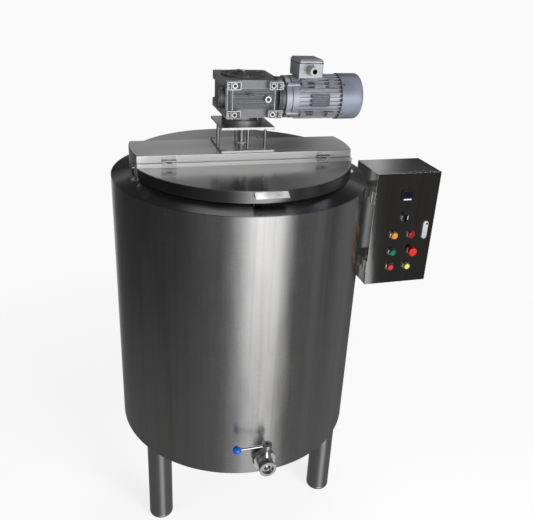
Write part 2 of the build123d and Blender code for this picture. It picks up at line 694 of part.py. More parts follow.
with BuildPart() as end_shields:
    for x, radius, length in (
        (INPUT_FLANGE_X, 45, 7),
        (INPUT_FLANGE_X + 7, 57, 12),
        (INPUT_FLANGE_X + 19, 54, 6),
        (INPUT_FLANGE_X + 25, 57.7, FRAME_X0 - INPUT_FLANGE_X - 25),
    ):
        with BuildSketch(drive_plane(x)):
            Circle(radius)
        extrude(amount=length)
    with BuildSketch(drive_plane(INPUT_FLANGE_X + 10)):
        with PolarLocations(53.5, 4, start_angle=45):
            Circle(7)
    extrude(amount=FRAME_X0 - INPUT_FLANGE_X - 10)
    with BuildSketch(drive_plane(124)):
        Circle(46)
    extrude(amount=8, mode=Mode.SUBTRACT)
    with BuildSketch(drive_plane(110)):
        Circle(17.6)
    extrude(amount=14, mode=Mode.SUBTRACT)
    with BuildSketch(drive_plane(FRAME_X1)):
        Circle(FRAME_R)
    extrude(amount=8)
    with BuildSketch(drive_plane(FRAME_X1 - 12)):
        Circle(26)
    extrude(amount=12)
    with BuildSketch(drive_plane(FRAME_X1 - 12)):
        Circle(17.6)
    extrude(amount=12, mode=Mode.SUBTRACT)
    with BuildSketch(drive_plane(INPUT_FLANGE_X)):
        Circle(ROTOR_SHAFT_R + GAP)
    extrude(amount=200, mode=Mode.SUBTRACT)
save(end_shields.part, "motor_end_shields")

with BuildPart() as bearings:
    for z in (GEAR_BOTTOM + 5.5, GEAR_TOP - 19.5):
        with BuildSketch(Plane.XY.offset(z)):
            Circle(BEARING_R)
            Circle(HOLLOW_R + RUN, mode=Mode.SUBTRACT)
        extrude(amount=14)
    for x in (-70, 56):
        with BuildSketch(drive_plane(x)):
            Circle(WORM_BEARING_R)
            Circle(10 + RUN, mode=Mode.SUBTRACT)
        extrude(amount=14)
    for x in (111, FRAME_X1 - 11.5):
        with BuildSketch(drive_plane(x)):
            Circle(17.6)
            Circle(ROTOR_SHAFT_R + RUN, mode=Mode.SUBTRACT)
        extrude(amount=11)
save(bearings.part, "drive_bearings")

with BuildPart() as stator:
    with BuildSketch(drive_plane(152)):
        Circle(46)
        Circle(30.5, mode=Mode.SUBTRACT)
    extrude(amount=84)
    for x in (140.5, 236.5):
        with BuildSketch(drive_plane(x)):
            Circle(43)
            Circle(33, mode=Mode.SUBTRACT)
        extrude(amount=11)
save(stator.part, "stator")

with BuildPart() as rotor:
    with BuildSketch(drive_plane(22)):
        Circle(ROTOR_SHAFT_R)
    extrude(amount=280)
    with BuildSketch(drive_plane(152)):
        Circle(30)
    extrude(amount=84)
save(rotor.part, "rotor")

with BuildPart() as cooling_fan:
    with BuildSketch(drive_plane(276)):
        Circle(50)
        Circle(ROTOR_SHAFT_R, mode=Mode.SUBTRACT)
    extrude(amount=3)
    with BuildSketch(drive_plane(279)):
        Circle(13)
        Circle(ROTOR_SHAFT_R, mode=Mode.SUBTRACT)
    extrude(amount=20)
    with BuildSketch(drive_plane(279)):
        with PolarLocations(31, 7):
            Rectangle(38, 2.4)
    extrude(amount=20)
save(cooling_fan.part, "cooling_fan")

with BuildPart() as fan_cover:
    with BuildSketch(drive_plane(COVER_X0)):
        Circle(COVER_R)
    extrude(amount=COVER_X1 - COVER_X0)
    fillet(fan_cover.edges().group_by(Axis.X)[-1], 12)
    with BuildSketch(drive_plane(COVER_X0)):
        Circle(COVER_R - 1.5)
    extrude(amount=COVER_X1 - COVER_X0 - 14, mode=Mode.SUBTRACT)
    with BuildSketch(drive_plane(COVER_X1 - 15)):
        Circle(COVER_R - 12)
    extrude(amount=13, mode=Mode.SUBTRACT)
    with BuildSketch(drive_plane(COVER_X1 - 3)):
        for ring_r, count in ((14, 6), (25, 12), (36, 18), (45, 24)):
            with PolarLocations(ring_r, count):
                Circle(3)
    extrude(amount=4, mode=Mode.SUBTRACT)
save(fan_cover.part, "fan_cover")

with BuildPart() as terminal_box:
    with BuildSketch(Plane.XY.offset(BOX_Z0)):
        with Locations((BOX_X, -68)):
            RectangleRounded(70, 80, 4)
    extrude(amount=38)
    with BuildSketch(Plane.XY.offset(BOX_Z0 + 4)):
        with Locations((BOX_X, -68)):
            RectangleRounded(62, 72, 2)
    extrude(amount=34, mode=Mode.SUBTRACT)
    with BuildSketch(front_plane(BOX_X, -100, BOX_Z0 + 20)):
        Circle(9)
    extrude(amount=20, mode=Mode.SUBTRACT)
    with BuildSketch(Plane.XY.offset(BOX_Z0 + 38.2)):
        with Locations((BOX_X, -68)):
            RectangleRounded(72, 82, 9)
    extrude(amount=9)
    chamfer(terminal_box.edges().group_by(Axis.Z)[-1], 5)
save(terminal_box.part, "terminal_box")

GLAND_X = CAB_X - 40.0
GLAND_Y = 40.0
CAB_BOTTOM = CAB_Z - CAB_H / 2
with BuildPart() as cable_glands:
    with BuildSketch(front_plane(BOX_X, -108, BOX_Z0 + 20)):
        RegularPolygon(15, 6)
    extrude(amount=9)
    with BuildSketch(front_plane(BOX_X, -106, BOX_Z0 + 20)):
        Circle(9)
    extrude(amount=2)
    with BuildSketch(front_plane(BOX_X, -117, BOX_Z0 + 20)):
        Circle(12.5)
    extrude(amount=22)
    with BuildSketch(front_plane(BOX_X, -100, BOX_Z0 + 20)):
        Circle(6.5)
    extrude(amount=60, mode=Mode.SUBTRACT)
    for i in range(3):
        with BuildSketch(Plane.XY.offset(CAB_BOTTOM)):
            with Locations((GLAND_X + 40 * i, GLAND_Y)):
                RegularPolygon(14, 6)
        extrude(amount=-8)
        with BuildSketch(Plane.XY.offset(CAB_BOTTOM - 8)):
            with Locations((GLAND_X + 40 * i, GLAND_Y)):
                Circle(11)
        extrude(amount=-14)
        with BuildSketch(Plane.XY.offset(CAB_BOTTOM + 4)):
            with Locations((GLAND_X + 40 * i, GLAND_Y)):
                Circle(8)
        extrude(amount=-4)
        with BuildSketch(Plane.XY.offset(CAB_BOTTOM + 4)):
            with Locations((GLAND_X + 40 * i, GLAND_Y)):
                Circle(5)
        extrude(amount=-30, mode=Mode.SUBTRACT)
save(cable_glands.part, "cable_glands")

# ---------------------------------------------------------------- cabinet
LIP = 12.0
with BuildPart() as cabinet_body:
    with Locations((CAB_X, (DOOR_BACK + 1 + CAB_BACK) / 2, CAB_Z)):
        Box(CAB_W, CAB_BACK - DOOR_BACK - 1, CAB_H)
    with Locations((CAB_X, (DOOR_BACK + 1 + CAB_BACK) / 2, CAB_Z)):
        Box(
            CAB_W - 2 * CAB_SHEET,
            CAB_BACK - DOOR_BACK - 1 - 2 * CAB_SHEET,
            CAB_H - 2 * CAB_SHEET,
            mode=Mode.SUBTRACT,
        )
    with Locations((CAB_X, DOOR_BACK, CAB_Z)):
        Box(CAB_W - 2 * LIP, 10, CAB_H - 2 * LIP, mode=Mode.SUBTRACT)
    with BuildSketch(Plane.XY.offset(CAB_BOTTOM - 1)):
        with Locations(*[(GLAND_X + 40 * i, GLAND_Y) for i in range(3)]):
            Circle(8)
    extrude(amount=4, mode=Mode.SUBTRACT)
save(cabinet_body.part, "cabinet_body")

with BuildPart() as cabinet_bracket:
    for z in (815, 1055):
        with Locations(((360 + CAB_X - CAB_W / 2) / 2, 15, z)):
            Box(CAB_X - CAB_W / 2 - 360, 60, 34)
        with Locations(((360 + CAB_X - CAB_W / 2) / 2, 15, z)):
            Box(CAB_X - CAB_W / 2 - 360, 54, 28, mode=Mode.SUBTRACT)
    with Locations((0, 0, 700)):
        Cylinder(SHELL_R + 0.1, 500, align=UP, mode=Mode.SUBTRACT)
save(cabinet_bracket.part, "cabinet_bracket")

with BuildPart() as switchgear:
    with Locations((CAB_X, CAB_BACK - 6, CAB_Z)):
        Box(180, 2, 330)
    with Locations((CAB_X, CAB_BACK - 11, CAB_Z + 60), (CAB_X, CAB_BACK - 11, CAB_Z - 60)):
        Box(160, 8, 35)
    for x, z, w, h in ((-50, 60, 45, 80), (5, 60, 45, 80), (52, 60, 30, 80), (-30, -60, 70, 50), (45, -60, 50, 50)):
        with Locations((CAB_X + x, CAB_BACK - 40, CAB_Z + z)):
            Box(w, 50, h)
save(switchgear.part, "switchgear")

CONTROLS = {
    "selector": (3, 42), "amber": (-29, -17), "red": (32, -17), "green": (-28, -76),
    "stop": (41, -76), "small_red": (-29, -129), "yellow": (31, -130),
}
PANEL = front_plane(CAB_X, CAB_FRONT, CAB_Z)
LOCK_U = 80.0
LOCK_V = 18.0
with BuildPart() as cabinet_door:
    with Locations((CAB_X, CAB_FRONT + DOOR_T / 2, CAB_Z)):
        Box(CAB_W, DOOR_T, CAB_H)
    with Locations((CAB_X, CAB_FRONT + DOOR_T / 2 + CAB_SHEET, CAB_Z)):
        Box(CAB_W - 2 * CAB_SHEET, DOOR_T, CAB_H - 2 * CAB_SHEET, mode=Mode.SUBTRACT)
    with BuildSketch(PANEL.offset(-3)):
        with Locations(*CONTROLS.values()):
            Circle(NECK_R)
        with Locations((0, 117)):
            Rectangle(34, 30)
        with Locations((LOCK_U, LOCK_V)):
            Circle(6.5)
    extrude(amount=6, mode=Mode.SUBTRACT)
save(cabinet_door.part, "cabinet_door")

with BuildPart() as door_hinges:
    for z in DOOR_HINGE_Z:
        with Locations((CAB_X - CAB_W / 2 - 1, DOOR_HINGE_Y - 10.4, z)):
            Box(2, 11.8, 40)
        with Locations((DOOR_HINGE_X, DOOR_HINGE_Y, z)):
            Cylinder(KNUCKLE_R, 20, align=UP)
        with Locations((DOOR_HINGE_X + 3.25, DOOR_HINGE_Y - 3, z + 10)):
            Box(2.5, 5, 20)
        with Locations((DOOR_HINGE_X, DOOR_HINGE_Y, z - 20)):
            Cylinder(PIN_R + RUN, 45, align=UP, mode=Mode.SUBTRACT)
save(door_hinges.part, "door_hinges")

with BuildPart() as display:
    with BuildSketch(PANEL):
        with Locations((0, 117)):
            RectangleRounded(39, 36, 3)
    extrude(amount=4)
    with BuildSketch(PANEL.offset(4)):
        with Locations((0, 120)):
            Rectangle(32, 19)
    extrude(amount=-1.5, mode=Mode.SUBTRACT)
    with BuildSketch(PANEL):
        with Locations((0, 117)):
            Rectangle(34, 30)
    extrude(amount=-30)
save(display.part, "display")

with BuildPart() as control_bodies:
    with BuildSketch(PANEL):
        with Locations(*CONTROLS.values()):
            Circle(BEZEL_R)
    extrude(amount=BEZEL_H)
    chamfer(control_bodies.edges().group_by(Axis.Y)[0], 1.5)
    with BuildSketch(PANEL):
        with Locations(*CONTROLS.values()):
            Circle(NECK_R)
    extrude(amount=-18)
    with BuildSketch(PANEL.offset(-18)):
        with Locations(*CONTROLS.values()):
            Rectangle(28, 28)
    extrude(amount=-22)
    with BuildSketch(PANEL.offset(BEZEL_H)):
        with Locations(*CONTROLS.values()):
            Circle(CAP_R + GAP)
    extrude(amount=-BEZEL_H - 10, mode=Mode.SUBTRACT)
save(control_bodies.part, "control_bodies")

with BuildPart() as indicator_lamps:
    with BuildSketch(PANEL.offset(BEZEL_H - 6)):
        with Locations(CONTROLS["amber"], CONTROLS["red"]):
            Circle(CAP_R)
    extrude(amount=6)
    with BuildSketch(PANEL.offset(BEZEL_H)):
        with Locations(CONTROLS["amber"], CONTROLS["red"]):
            Circle(11.5)
    extrude(amount=7)
    fillet(indicator_lamps.edges().group_by(Axis.Y)[0], 5)
save(indicator_lamps.part, "indicator_lamps")

for name, key in (("button_green", "green"), ("button_red", "small_red"), ("button_yellow", "yellow")):
    with BuildPart() as button:
        with BuildSketch(PANEL.offset(1)):
            with Locations(CONTROLS[key]):
                Circle(CAP_R)
        extrude(amount=13)
        fillet(button.edges().group_by(Axis.Y)[0], 1.5)
    save(button.part, name)

with BuildPart() as stop_button:
    with BuildSketch(PANEL.offset(1)):
        with Locations(CONTROLS["stop"]):
            Circle(CAP_R)
    extrude(amount=12)
    with BuildSketch(PANEL.offset(13)):
        with Locations(CONTROLS["stop"]):
            Circle(14.5)
    extrude(amount=8)
    fillet(stop_button.edges().group_by(Axis.Y)[0], 4)
save(stop_button.part, "button_stop")

with BuildPart() as selector_knob:
    with BuildSketch(PANEL.offset(1)):
        with Locations(CONTROLS["selector"]):
            Circle(CAP_R)
    extrude(amount=BEZEL_H + 1)
    with BuildSketch(PANEL.offset(BEZEL_H + 2)):
        with Locations(CONTROLS["selector"]):
            Circle(13)
    extrude(amount=3)
    with BuildSketch(PANEL.offset(BEZEL_H + 5)):
        with Locations(CONTROLS["selector"]):
            RectangleRounded(8, 25, 2)
    extrude(amount=8)
save(selector_knob.part, "selector_knob")

with BuildPart() as lock_lever:
    with BuildSketch(PANEL.offset(0.5)):
        with Locations((LOCK_U, LOCK_V - 22)):
            SlotOverall(62, 18, rotation=90)
    extrude(amount=6)
    fillet(lock_lever.edges().group_by(Axis.Y)[0], 1.5)
    with BuildSketch(PANEL.offset(0.5)):
        with Locations((LOCK_U, LOCK_V)):
            Circle(6)
    extrude(amount=-24)
    with BuildSketch(PANEL.offset(-19)):
        with Locations((LOCK_U + 3, LOCK_V)):
            Rectangle(24, 14)
    extrude(amount=-4)
save(lock_lever.part, "lock_lever")

# ---------------------------------------------------------------- outlet valve
BODY_BACK = VALVE_BACK - FERRULE_T
BODY_FRONT = VALVE_FRONT + FERRULE_T
with BuildPart() as valve_body:
    for start, stop, radius in (
        (VALVE_BACK, BODY_BACK, FERRULE_R),
        (BODY_BACK, BODY_BACK - 3, PIPE_R + 1),
        (BODY_BACK - 3, BODY_FRONT + 4, VALVE_R),
        (BODY_FRONT + 4, BODY_FRONT, PIPE_R + 1),
        (BODY_FRONT, VALVE_FRONT, FERRULE_R),
    ):
        with BuildSketch(PIPE_AXIS.offset(-start)):
            Circle(radius)
        extrude(amount=start - stop)
    with BuildSketch(Plane(origin=(0, VALVE_Y, VALVE_Z))):
        Circle(13)
    extrude(amount=36)
    with BuildSketch(Plane(origin=(0, VALVE_Y, VALVE_Z + 36))):
        Circle(13)
    extrude(amount=14, taper=28)
    with BuildSketch(Plane(origin=(0, VALVE_Y, VALVE_Z + 50))):
        Circle(5.5)
    extrude(amount=HUB_Z - VALVE_Z - 50.5)
    with BuildSketch(PIPE_AXIS.offset(-VALVE_BACK)):
        Circle(SEAT_R)
    extrude(amount=VALVE_BACK - VALVE_FRONT, mode=Mode.SUBTRACT)
    with BuildSketch(PIPE_AXIS.offset(-VALVE_BACK)):
        Circle(PORT_R)
    extrude(amount=4, mode=Mode.SUBTRACT)
    with BuildSketch(PIPE_AXIS.offset(-VALVE_FRONT)):
        Circle(PORT_R)
    extrude(amount=-MOUTH_DEPTH, mode=Mode.SUBTRACT)
    with Locations((0, VALVE_Y, VALVE_Z)):
        Sphere(BALL_R + GAP, mode=Mode.SUBTRACT)
        Cylinder(STEM_R + RUN, 80, align=UP, mode=Mode.SUBTRACT)
save(valve_body.part, "valve_body")

with BuildPart() as union_nut:
    with BuildSketch(PIPE_AXIS.offset(-VALVE_BACK - 10)):
        Circle(34)
        Circle(FERRULE_R + 0.3, mode=Mode.SUBTRACT)
        with PolarLocations(34, 6):
            Rectangle(6, 10, mode=Mode.SUBTRACT)
    extrude(amount=16)
save(union_nut.part, "union_nut")

with BuildPart() as valve_ball:
    with Locations((0, VALVE_Y, VALVE_Z)):
        Sphere(BALL_R)
        Cylinder(STEM_R, HUB_TOP - VALVE_Z - 4, align=UP)
    with Locations(Plane(origin=(-40, VALVE_Y, VALVE_Z), z_dir=(1, 0, 0))):
        Cylinder(SEAT_R - 0.5, 80, align=UP, mode=Mode.SUBTRACT)
save(valve_ball.part, "valve_ball")

with BuildPart() as valve_handle:
    with BuildSketch(Plane(origin=(0, VALVE_Y, HUB_Z))):
        Circle(HUB_R)
    extrude(amount=HUB_TOP - HUB_Z)
    fillet(valve_handle.edges().group_by(Axis.Z)[-1], 2.5)
    with Locations(Plane(origin=(-10, VALVE_Y, ROD_Z), z_dir=(-1, 0, 0))):
        Cylinder(4, -KNOB_X - 14, align=UP)
    with BuildSketch(Plane(origin=(0, VALVE_Y, HUB_TOP - 5))):
        RegularPolygon(6, 6)
    extrude(amount=5, mode=Mode.SUBTRACT)
    with Locations((0, VALVE_Y, HUB_Z)):
        Cylinder(STEM_R, 20, align=UP, mode=Mode.SUBTRACT)
save(valve_handle.part, "valve_handle")

with BuildPart() as valve_knob:
    with Locations((KNOB_X, VALVE_Y, ROD_Z)):
        Sphere(12.5)
    with Locations(Plane(origin=(KNOB_X + 30, VALVE_Y, ROD_Z), z_dir=(-1, 0, 0))):
        Cylinder(4, 26, align=UP, mode=Mode.SUBTRACT)
save(valve_knob.part, "valve_knob")
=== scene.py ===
"""Looks of the bulk milk tank: materials, fine pieces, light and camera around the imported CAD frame.

Everything is in metres in the CAD frame: +Z up, -Y front (outlet valve), +X right (cabinet).
"""

import math

import bmesh
import bpy
from mathutils import Matrix, Vector


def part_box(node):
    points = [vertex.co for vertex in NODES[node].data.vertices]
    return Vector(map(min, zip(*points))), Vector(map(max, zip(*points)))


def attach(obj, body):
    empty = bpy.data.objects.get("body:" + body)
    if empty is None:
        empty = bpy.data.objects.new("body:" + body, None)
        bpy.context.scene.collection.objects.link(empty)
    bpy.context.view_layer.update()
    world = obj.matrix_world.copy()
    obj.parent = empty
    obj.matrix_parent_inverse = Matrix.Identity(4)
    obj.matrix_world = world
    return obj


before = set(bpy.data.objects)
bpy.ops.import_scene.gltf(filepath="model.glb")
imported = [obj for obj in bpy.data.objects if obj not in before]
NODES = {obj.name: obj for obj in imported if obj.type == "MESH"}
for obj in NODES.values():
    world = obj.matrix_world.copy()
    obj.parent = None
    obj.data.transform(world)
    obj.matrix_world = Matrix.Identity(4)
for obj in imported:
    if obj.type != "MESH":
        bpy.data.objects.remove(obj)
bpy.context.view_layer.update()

MM = 0.001
FRONT = (0, -1, 0)

# Places on the CAD part that the boxes of its nodes do not give.
LEG_PITCH = 323.5 * MM
LEG_R = 38 * MM
LEG_END_WELD_Z = 13 * MM
CONE_TOP_R = 315 * MM
CONE_SEAM_DEGREES = -7.6
POST_R = 4.75 * MM
PAD_HOLE_X = {-1: -49.6 * MM, 1: 56 * MM}
PAD_X = {-1: -52 * MM, 1: 64 * MM}
PAD_Z = 38 * MM
PANEL_DEPTH = 7.5 * MM
PANEL_Z = 1365.5 * MM
PANEL_HALF_HEIGHT = 26 * MM
OIL_PLUG = (46 * MM, 0)
SHIELD_BOLT_R = 53.5 * MM
LOCK_PIVOT_Z = 955 * MM
LAMPS_MIDDLE_X = 533.5 * MM


# ---------------------------------------------------------------- node helpers
class Nodes:
    """A node tree, with short calls for what the materials and the world have in common."""

    def __init__(self, tree):
        self.tree = tree

    def node(self, kind, **values):
        made = self.tree.nodes.new(kind)
        for key, value in values.items():
            setattr(made, key, value)
        return made

    def put(self, value, socket):
        """Feeds a socket from another node's output, or with a constant."""
        if isinstance(value, bpy.types.NodeSocket):
            self.tree.links.new(value, socket)
        else:
            socket.default_value = value

    def math(self, operation, a, b=0.0, c=0.0):
        made = self.node("ShaderNodeMath", operation=operation)
        for socket, value in zip(made.inputs, (a, b, c)):
            self.put(value, socket)
        return made.outputs[0]

    def split(self, vector):
        """The x, y and z of a vector."""
        made = self.node("ShaderNodeSeparateXYZ")
        self.put(vector, made.inputs[0])
        return made.outputs

    def dot(self, a, b):
        made = self.node("ShaderNodeVectorMath", operation="DOT_PRODUCT")
        self.put(a, made.inputs[0])
        self.put(b, made.inputs[1])
        return made.outputs["Value"]

    def scale(self, colour, factor):
        made = self.node("ShaderNodeVectorMath", operation="SCALE")
        self.put(colour, made.inputs[0])
        self.put(factor, made.inputs["Scale"])
        return made.outputs[0]

    def spread(self, value, low, high, start=0.3, stop=0.7, curve="LINEAR"):
        """Maps start..stop to low..high; the usual start and stop are the middle of a noise."""
        made = self.node("ShaderNodeMapRange", interpolation_type=curve)
        for socket, constant in (("From Min", start), ("From Max", stop), ("To Min", low), ("To Max", high)):
            made.inputs[socket].default_value = constant
        self.put(value, made.inputs["Value"])
        return made.outputs[0]

    def mix(self, factor, a, b, blend="MIX"):
        made = self.node("ShaderNodeMix", data_type="RGBA", blend_type=blend)
        for socket, value in (("Factor", factor), ("A", a), ("B", b)):
            self.put(value, made.inputs[socket])
        return made.outputs["Result"]

    def colours(self, value, stops):
        """A colour ramp of (place, colour) stops."""
        ramp = self.node("ShaderNodeValToRGB")
        elements = ramp.color_ramp.elements
        while len(elements) < len(stops):
            elements.new(0.5)
        for element, (place, colour) in zip(elements, stops):
            element.position = place
            element.color = (*colour, 1)
        self.put(value, ramp.inputs[0])
        return ramp.outputs[0]


class MaterialNodes(Nodes):
    """A material's node tree around its Principled BSDF."""

    def __init__(self, name, base, metallic, roughness, **sockets):
        self.material = bpy.data.materials.new(name)
        self.material.use_nodes = True
        super().__init__(self.material.node_tree)
        self.bsdf = self.tree.nodes["Principled BSDF"]
        self.bsdf.inputs["Base Color"].default_value = (*base, 1)
        self.bsdf.inputs["Metallic"].default_value = metallic
        self.bsdf.inputs["Roughness"].default_value = roughness
        for socket, value in sockets.items():
            self.bsdf.inputs[socket.replace("_", " ")].default_value = value
        self.coords = self.node("ShaderNodeTexCoord")
        self.place = self.coords.outputs["Object"]

    def feed(self, value, socket):
        self.put(value, self.bsdf.inputs[socket])

    def scaled(self, scale):
        """Object coordinates stretched by a scale, for grain along one axis."""
        mapping = self.node("ShaderNodeMapping")
        mapping.inputs["Scale"].default_value = scale
        self.put(self.place, mapping.inputs["Vector"])
        return mapping.outputs[0]

    def around(self, per_radian, per_metre):
        """Coordinates that run around the tank's axis and up it, for grain round a cylinder."""
        x, y, z = self.split(self.place)
        joined = self.node("ShaderNodeCombineXYZ")
        self.put(self.math("MULTIPLY", self.math("ARCTAN2", x, y), per_radian), joined.inputs[0])
        self.put(self.math("MULTIPLY", z, per_metre), joined.inputs[2])
        return joined.outputs[0]

    def noise(self, vector, scale, detail=3.0, rough=0.55):
        made = self.node("ShaderNodeTexNoise")
        made.inputs["Scale"].default_value = scale
        made.inputs["Detail"].default_value = detail
        made.inputs["Roughness"].default_value = rough
        self.put(vector, made.inputs["Vector"])
        return made.outputs["Fac"]

    def bump(self, height, strength, distance, normal=None):
        made = self.node("ShaderNodeBump")
        made.inputs["Strength"].default_value = strength
        made.inputs["Distance"].default_value = distance
        self.put(height, made.inputs["Height"])
        if normal is not None:
            self.put(normal, made.inputs["Normal"])
        return made.outputs[0]

    def edge_wear_and_highlight(self, radius):
        """1 near a convex edge and 0 away from it, from the difference a small bevel makes."""
        bevel = self.node("ShaderNodeBevel", samples=4)
        bevel.inputs["Radius"].default_value = radius
        flat = self.node("ShaderNodeNewGeometry").outputs["Normal"]
        return self.spread(self.dot(bevel.outputs[0], flat), 1.0, 0.0, 0.86, 0.995)


def shade(colour, factor):
    return tuple(channel * factor for channel in colour)


def grey(level):
    return (level, level, level)


# ---------------------------------------------------------------- kinds of finish
STEEL_TINT = (1.0, 0.995, 0.985)
STAIN = (0.62, 0.52, 0.44, 1)
# Colour of the painted highlight along folded edges.
EDGE_HIGHLIGHT = (0.95, 0.94, 0.92, 1)
# Levels of the painted reflection on the flanges along the bridge, at their left and at their right end.
FLANGE_REFLECTION_LEVEL = 0.97
FLANGE_END_REFLECTION_LEVEL = 0.36
QUARTER_TURN = 0.25


def paint_flange_reflection(m, rough, colour, level, coarser):
    """Coarsens the flanges that stand along the bridge and lightens them with a painted reflection, less
    towards their right end.
    """
    x, y = m.split(m.place)[:2]
    upward = m.split(m.coords.outputs["Normal"])[2]
    near = m.spread(m.math("ABSOLUTE", y), 1.0, 0.0, 100 * MM, 106 * MM)
    standing = m.spread(m.math("ABSOLUTE", upward), 1.0, 0.0, 0.3, 0.6)
    flange = m.math("MULTIPLY", near, standing)
    # Painted reflection: the flanges' colour is lifted towards a bright level that falls off to the right.
    lift = m.spread(x, FLANGE_REFLECTION_LEVEL / level - 1.0, FLANGE_END_REFLECTION_LEVEL / level - 1.0, 150 * MM, 290 * MM)
    rough = m.math("MULTIPLY_ADD", flange, coarser, rough)
    return rough, m.scale(colour, m.math("MULTIPLY_ADD", flange, lift, 1.0))


def add_stains(m, colour, depth, around):
    """Upright water marks."""
    vector = m.around(16.0, 0.8) if around else m.scaled((60, 60, 1.5))
    runs = m.noise(vector, 1.0, 4.0, 0.65)
    return m.mix(m.spread(runs, 0.0, depth, 0.48, 0.72), colour, STAIN, "MULTIPLY")


def paint_edge_highlight(m, colour, radius):
    """A painted highlight: a bright, less mirror-like line along folded edges."""
    highlighted_edge = m.edge_wear_and_highlight(radius)
    m.feed(m.math("MULTIPLY_ADD", highlighted_edge, -0.65, 1.0), "Metallic")
    return m.mix(highlighted_edge, colour, EDGE_HIGHLIGHT)


def brushed_steel(
    name, level, roughness, grain, anisotropy=0.6, smudge=0.5, edge=0.0, streaks=0.0, upright=0.0,
):
    """Stainless sheet with fine grain, roughness that varies with handling, and a slight wave.

    grain is "around" or a scale for the grain's noise, edge the radius of a painted highlight along folded
    edges, streaks the depth of stains, and upright the roughness of the flanges along the bridge, which
    also get a painted reflection.
    """
    around = grain == "around"
    m = MaterialNodes(
        name, shade(STEEL_TINT, level), 1.0, roughness,
        Anisotropic=anisotropy, Anisotropic_Rotation=QUARTER_TURN if around else 0.0,
    )
    vector = m.around(6.0, 1400.0) if around else m.scaled(grain)
    broad_vector = m.around(3.0, 3.0) if around else m.place
    fine = m.noise(vector, 1.0, 4.0, 0.7)
    broad = m.noise(broad_vector, 2.2, 5.0, 0.6)
    cloud = m.math("MULTIPLY_ADD", broad, smudge, m.math("MULTIPLY", fine, 1.0 - smudge))
    rough = m.spread(cloud, roughness * 0.75, roughness * 1.3)
    tones = ((0.25, 0.86), (0.55, 1.0), (0.8, 1.08))
    colour = m.colours(cloud, [(place, shade(STEEL_TINT, level * tone)) for place, tone in tones])
    # Flanges along the bridge: coarser, with a painted reflection.
    if upright:
        rough, colour = paint_flange_reflection(m, rough, colour, level, upright - roughness)
    if streaks:
        colour = add_stains(m, colour, streaks, around)
    if edge:
        colour = paint_edge_highlight(m, colour, edge)
    m.feed(rough, "Roughness")
    m.feed(colour, "Base Color")
    wave = m.bump(m.noise(broad_vector, 1.3, 1.0), 0.25, 4 * MM)
    m.feed(m.bump(fine, 0.12, 0.2 * MM, wave), "Normal")
    return m.material


def polished_steel(name, level=0.72, roughness=0.13):
    """Bright metal, polished or plated: fine pits and an uneven gloss."""
    m = MaterialNodes(name, grey(level), 1.0, roughness)
    fine = m.noise(m.scaled((300, 300, 300)), 1.0, 2.0)
    broad = m.noise(m.place, 24.0, 4.0)
    m.feed(m.spread(broad, roughness * 0.7, roughness * 1.7), "Roughness")
    m.feed(m.colours(broad, [(0.3, grey(level * 0.85)), (0.7, grey(level))]), "Base Color")
    m.feed(m.bump(fine, 0.08, 0.2 * MM), "Normal")
    return m.material


def cast_metal(name, base, roughness=0.42, metallic=0.55, worn=(0.62, 0.63, 0.66), hollow=None):
    """Painted die casting: a pebbled skin, uneven tone and bright worn edges.

    hollow is (height of the middle, half height, level of the shade) for a painted shade on a ribbed panel
    recessed between two bars.
    """
    m = MaterialNodes(name, base, metallic, roughness)
    grain = m.noise(m.scaled((420, 420, 420)), 1.0, 3.0)
    broad = m.noise(m.place, 16.0, 5.0)
    tone = m.colours(broad, [(0.3, shade(base, 0.78)), (0.7, shade(base, 1.15))])
    if hollow:
        middle, half, painted_shade = hollow
        # Painted shade: the tone is darkened across the middle of the recessed panel.
        away = m.math("ABSOLUTE", m.math("SUBTRACT", m.split(m.place)[2], middle))
        tone = m.scale(tone, m.spread(away, painted_shade, 1.0, half - 2 * MM, half + 2 * MM))
    wear = m.math("MULTIPLY", m.edge_wear_and_highlight(1.2 * MM), m.spread(broad, 0.25, 1.0, 0.35, 0.6))
    m.feed(m.mix(wear, tone, (*worn, 1)), "Base Color")
    m.feed(m.spread(broad, roughness * 0.8, roughness * 1.25), "Roughness")
    m.feed(m.bump(grain, 0.25, 0.3 * MM), "Normal")
    return m.material


def moulded(name, base, roughness=0.3, **sockets):
    """Moulded plastic: a faint orange peel and slight dulling."""
    m = MaterialNodes(name, base, 0.0, roughness, **sockets)
    peel = m.noise(m.scaled((260, 260, 260)), 1.0, 2.0)
    broad = m.noise(m.place, 30.0, 4.0)
    m.feed(m.spread(broad, roughness * 0.8, roughness * 1.3), "Roughness")
    m.feed(m.colours(broad, [(0.3, shade(base, 0.85)), (0.7, base)]), "Base Color")
    m.feed(m.bump(peel, 0.1, 0.3 * MM), "Normal")
    return m.material


def two_lenses(name, left, right, middle):
    """Clear moulded lamp lenses: one colour left of the middle and another right of it."""
    m = MaterialNodes(name, left, 0.0, 0.15, Transmission_Weight=0.15, Coat_Weight=0.6)
    side = m.math("GREATER_THAN", m.split(m.place)[0], middle)
    broad = m.noise(m.place, 60.0, 4.0)
    colour = m.colours(side, [(0.0, left), (1.0, right)])
    m.feed(m.scale(colour, m.spread(broad, 0.82, 1.0)), "Base Color")
    ribs = m.noise(m.scaled((500, 40, 500)), 1.0, 1.0)
    m.feed(m.bump(ribs, 0.15, 0.4 * MM), "Normal")
    m.feed(m.spread(broad, 0.10, 0.22), "Roughness")
    return m.material


# ---------------------------------------------------------------- finishes
SHELL = brushed_steel("shell_steel", 0.62, 0.24, "around", anisotropy=0.75, streaks=0.35)
VESSEL = brushed_steel("vessel_steel", 0.66, 0.20, "around")
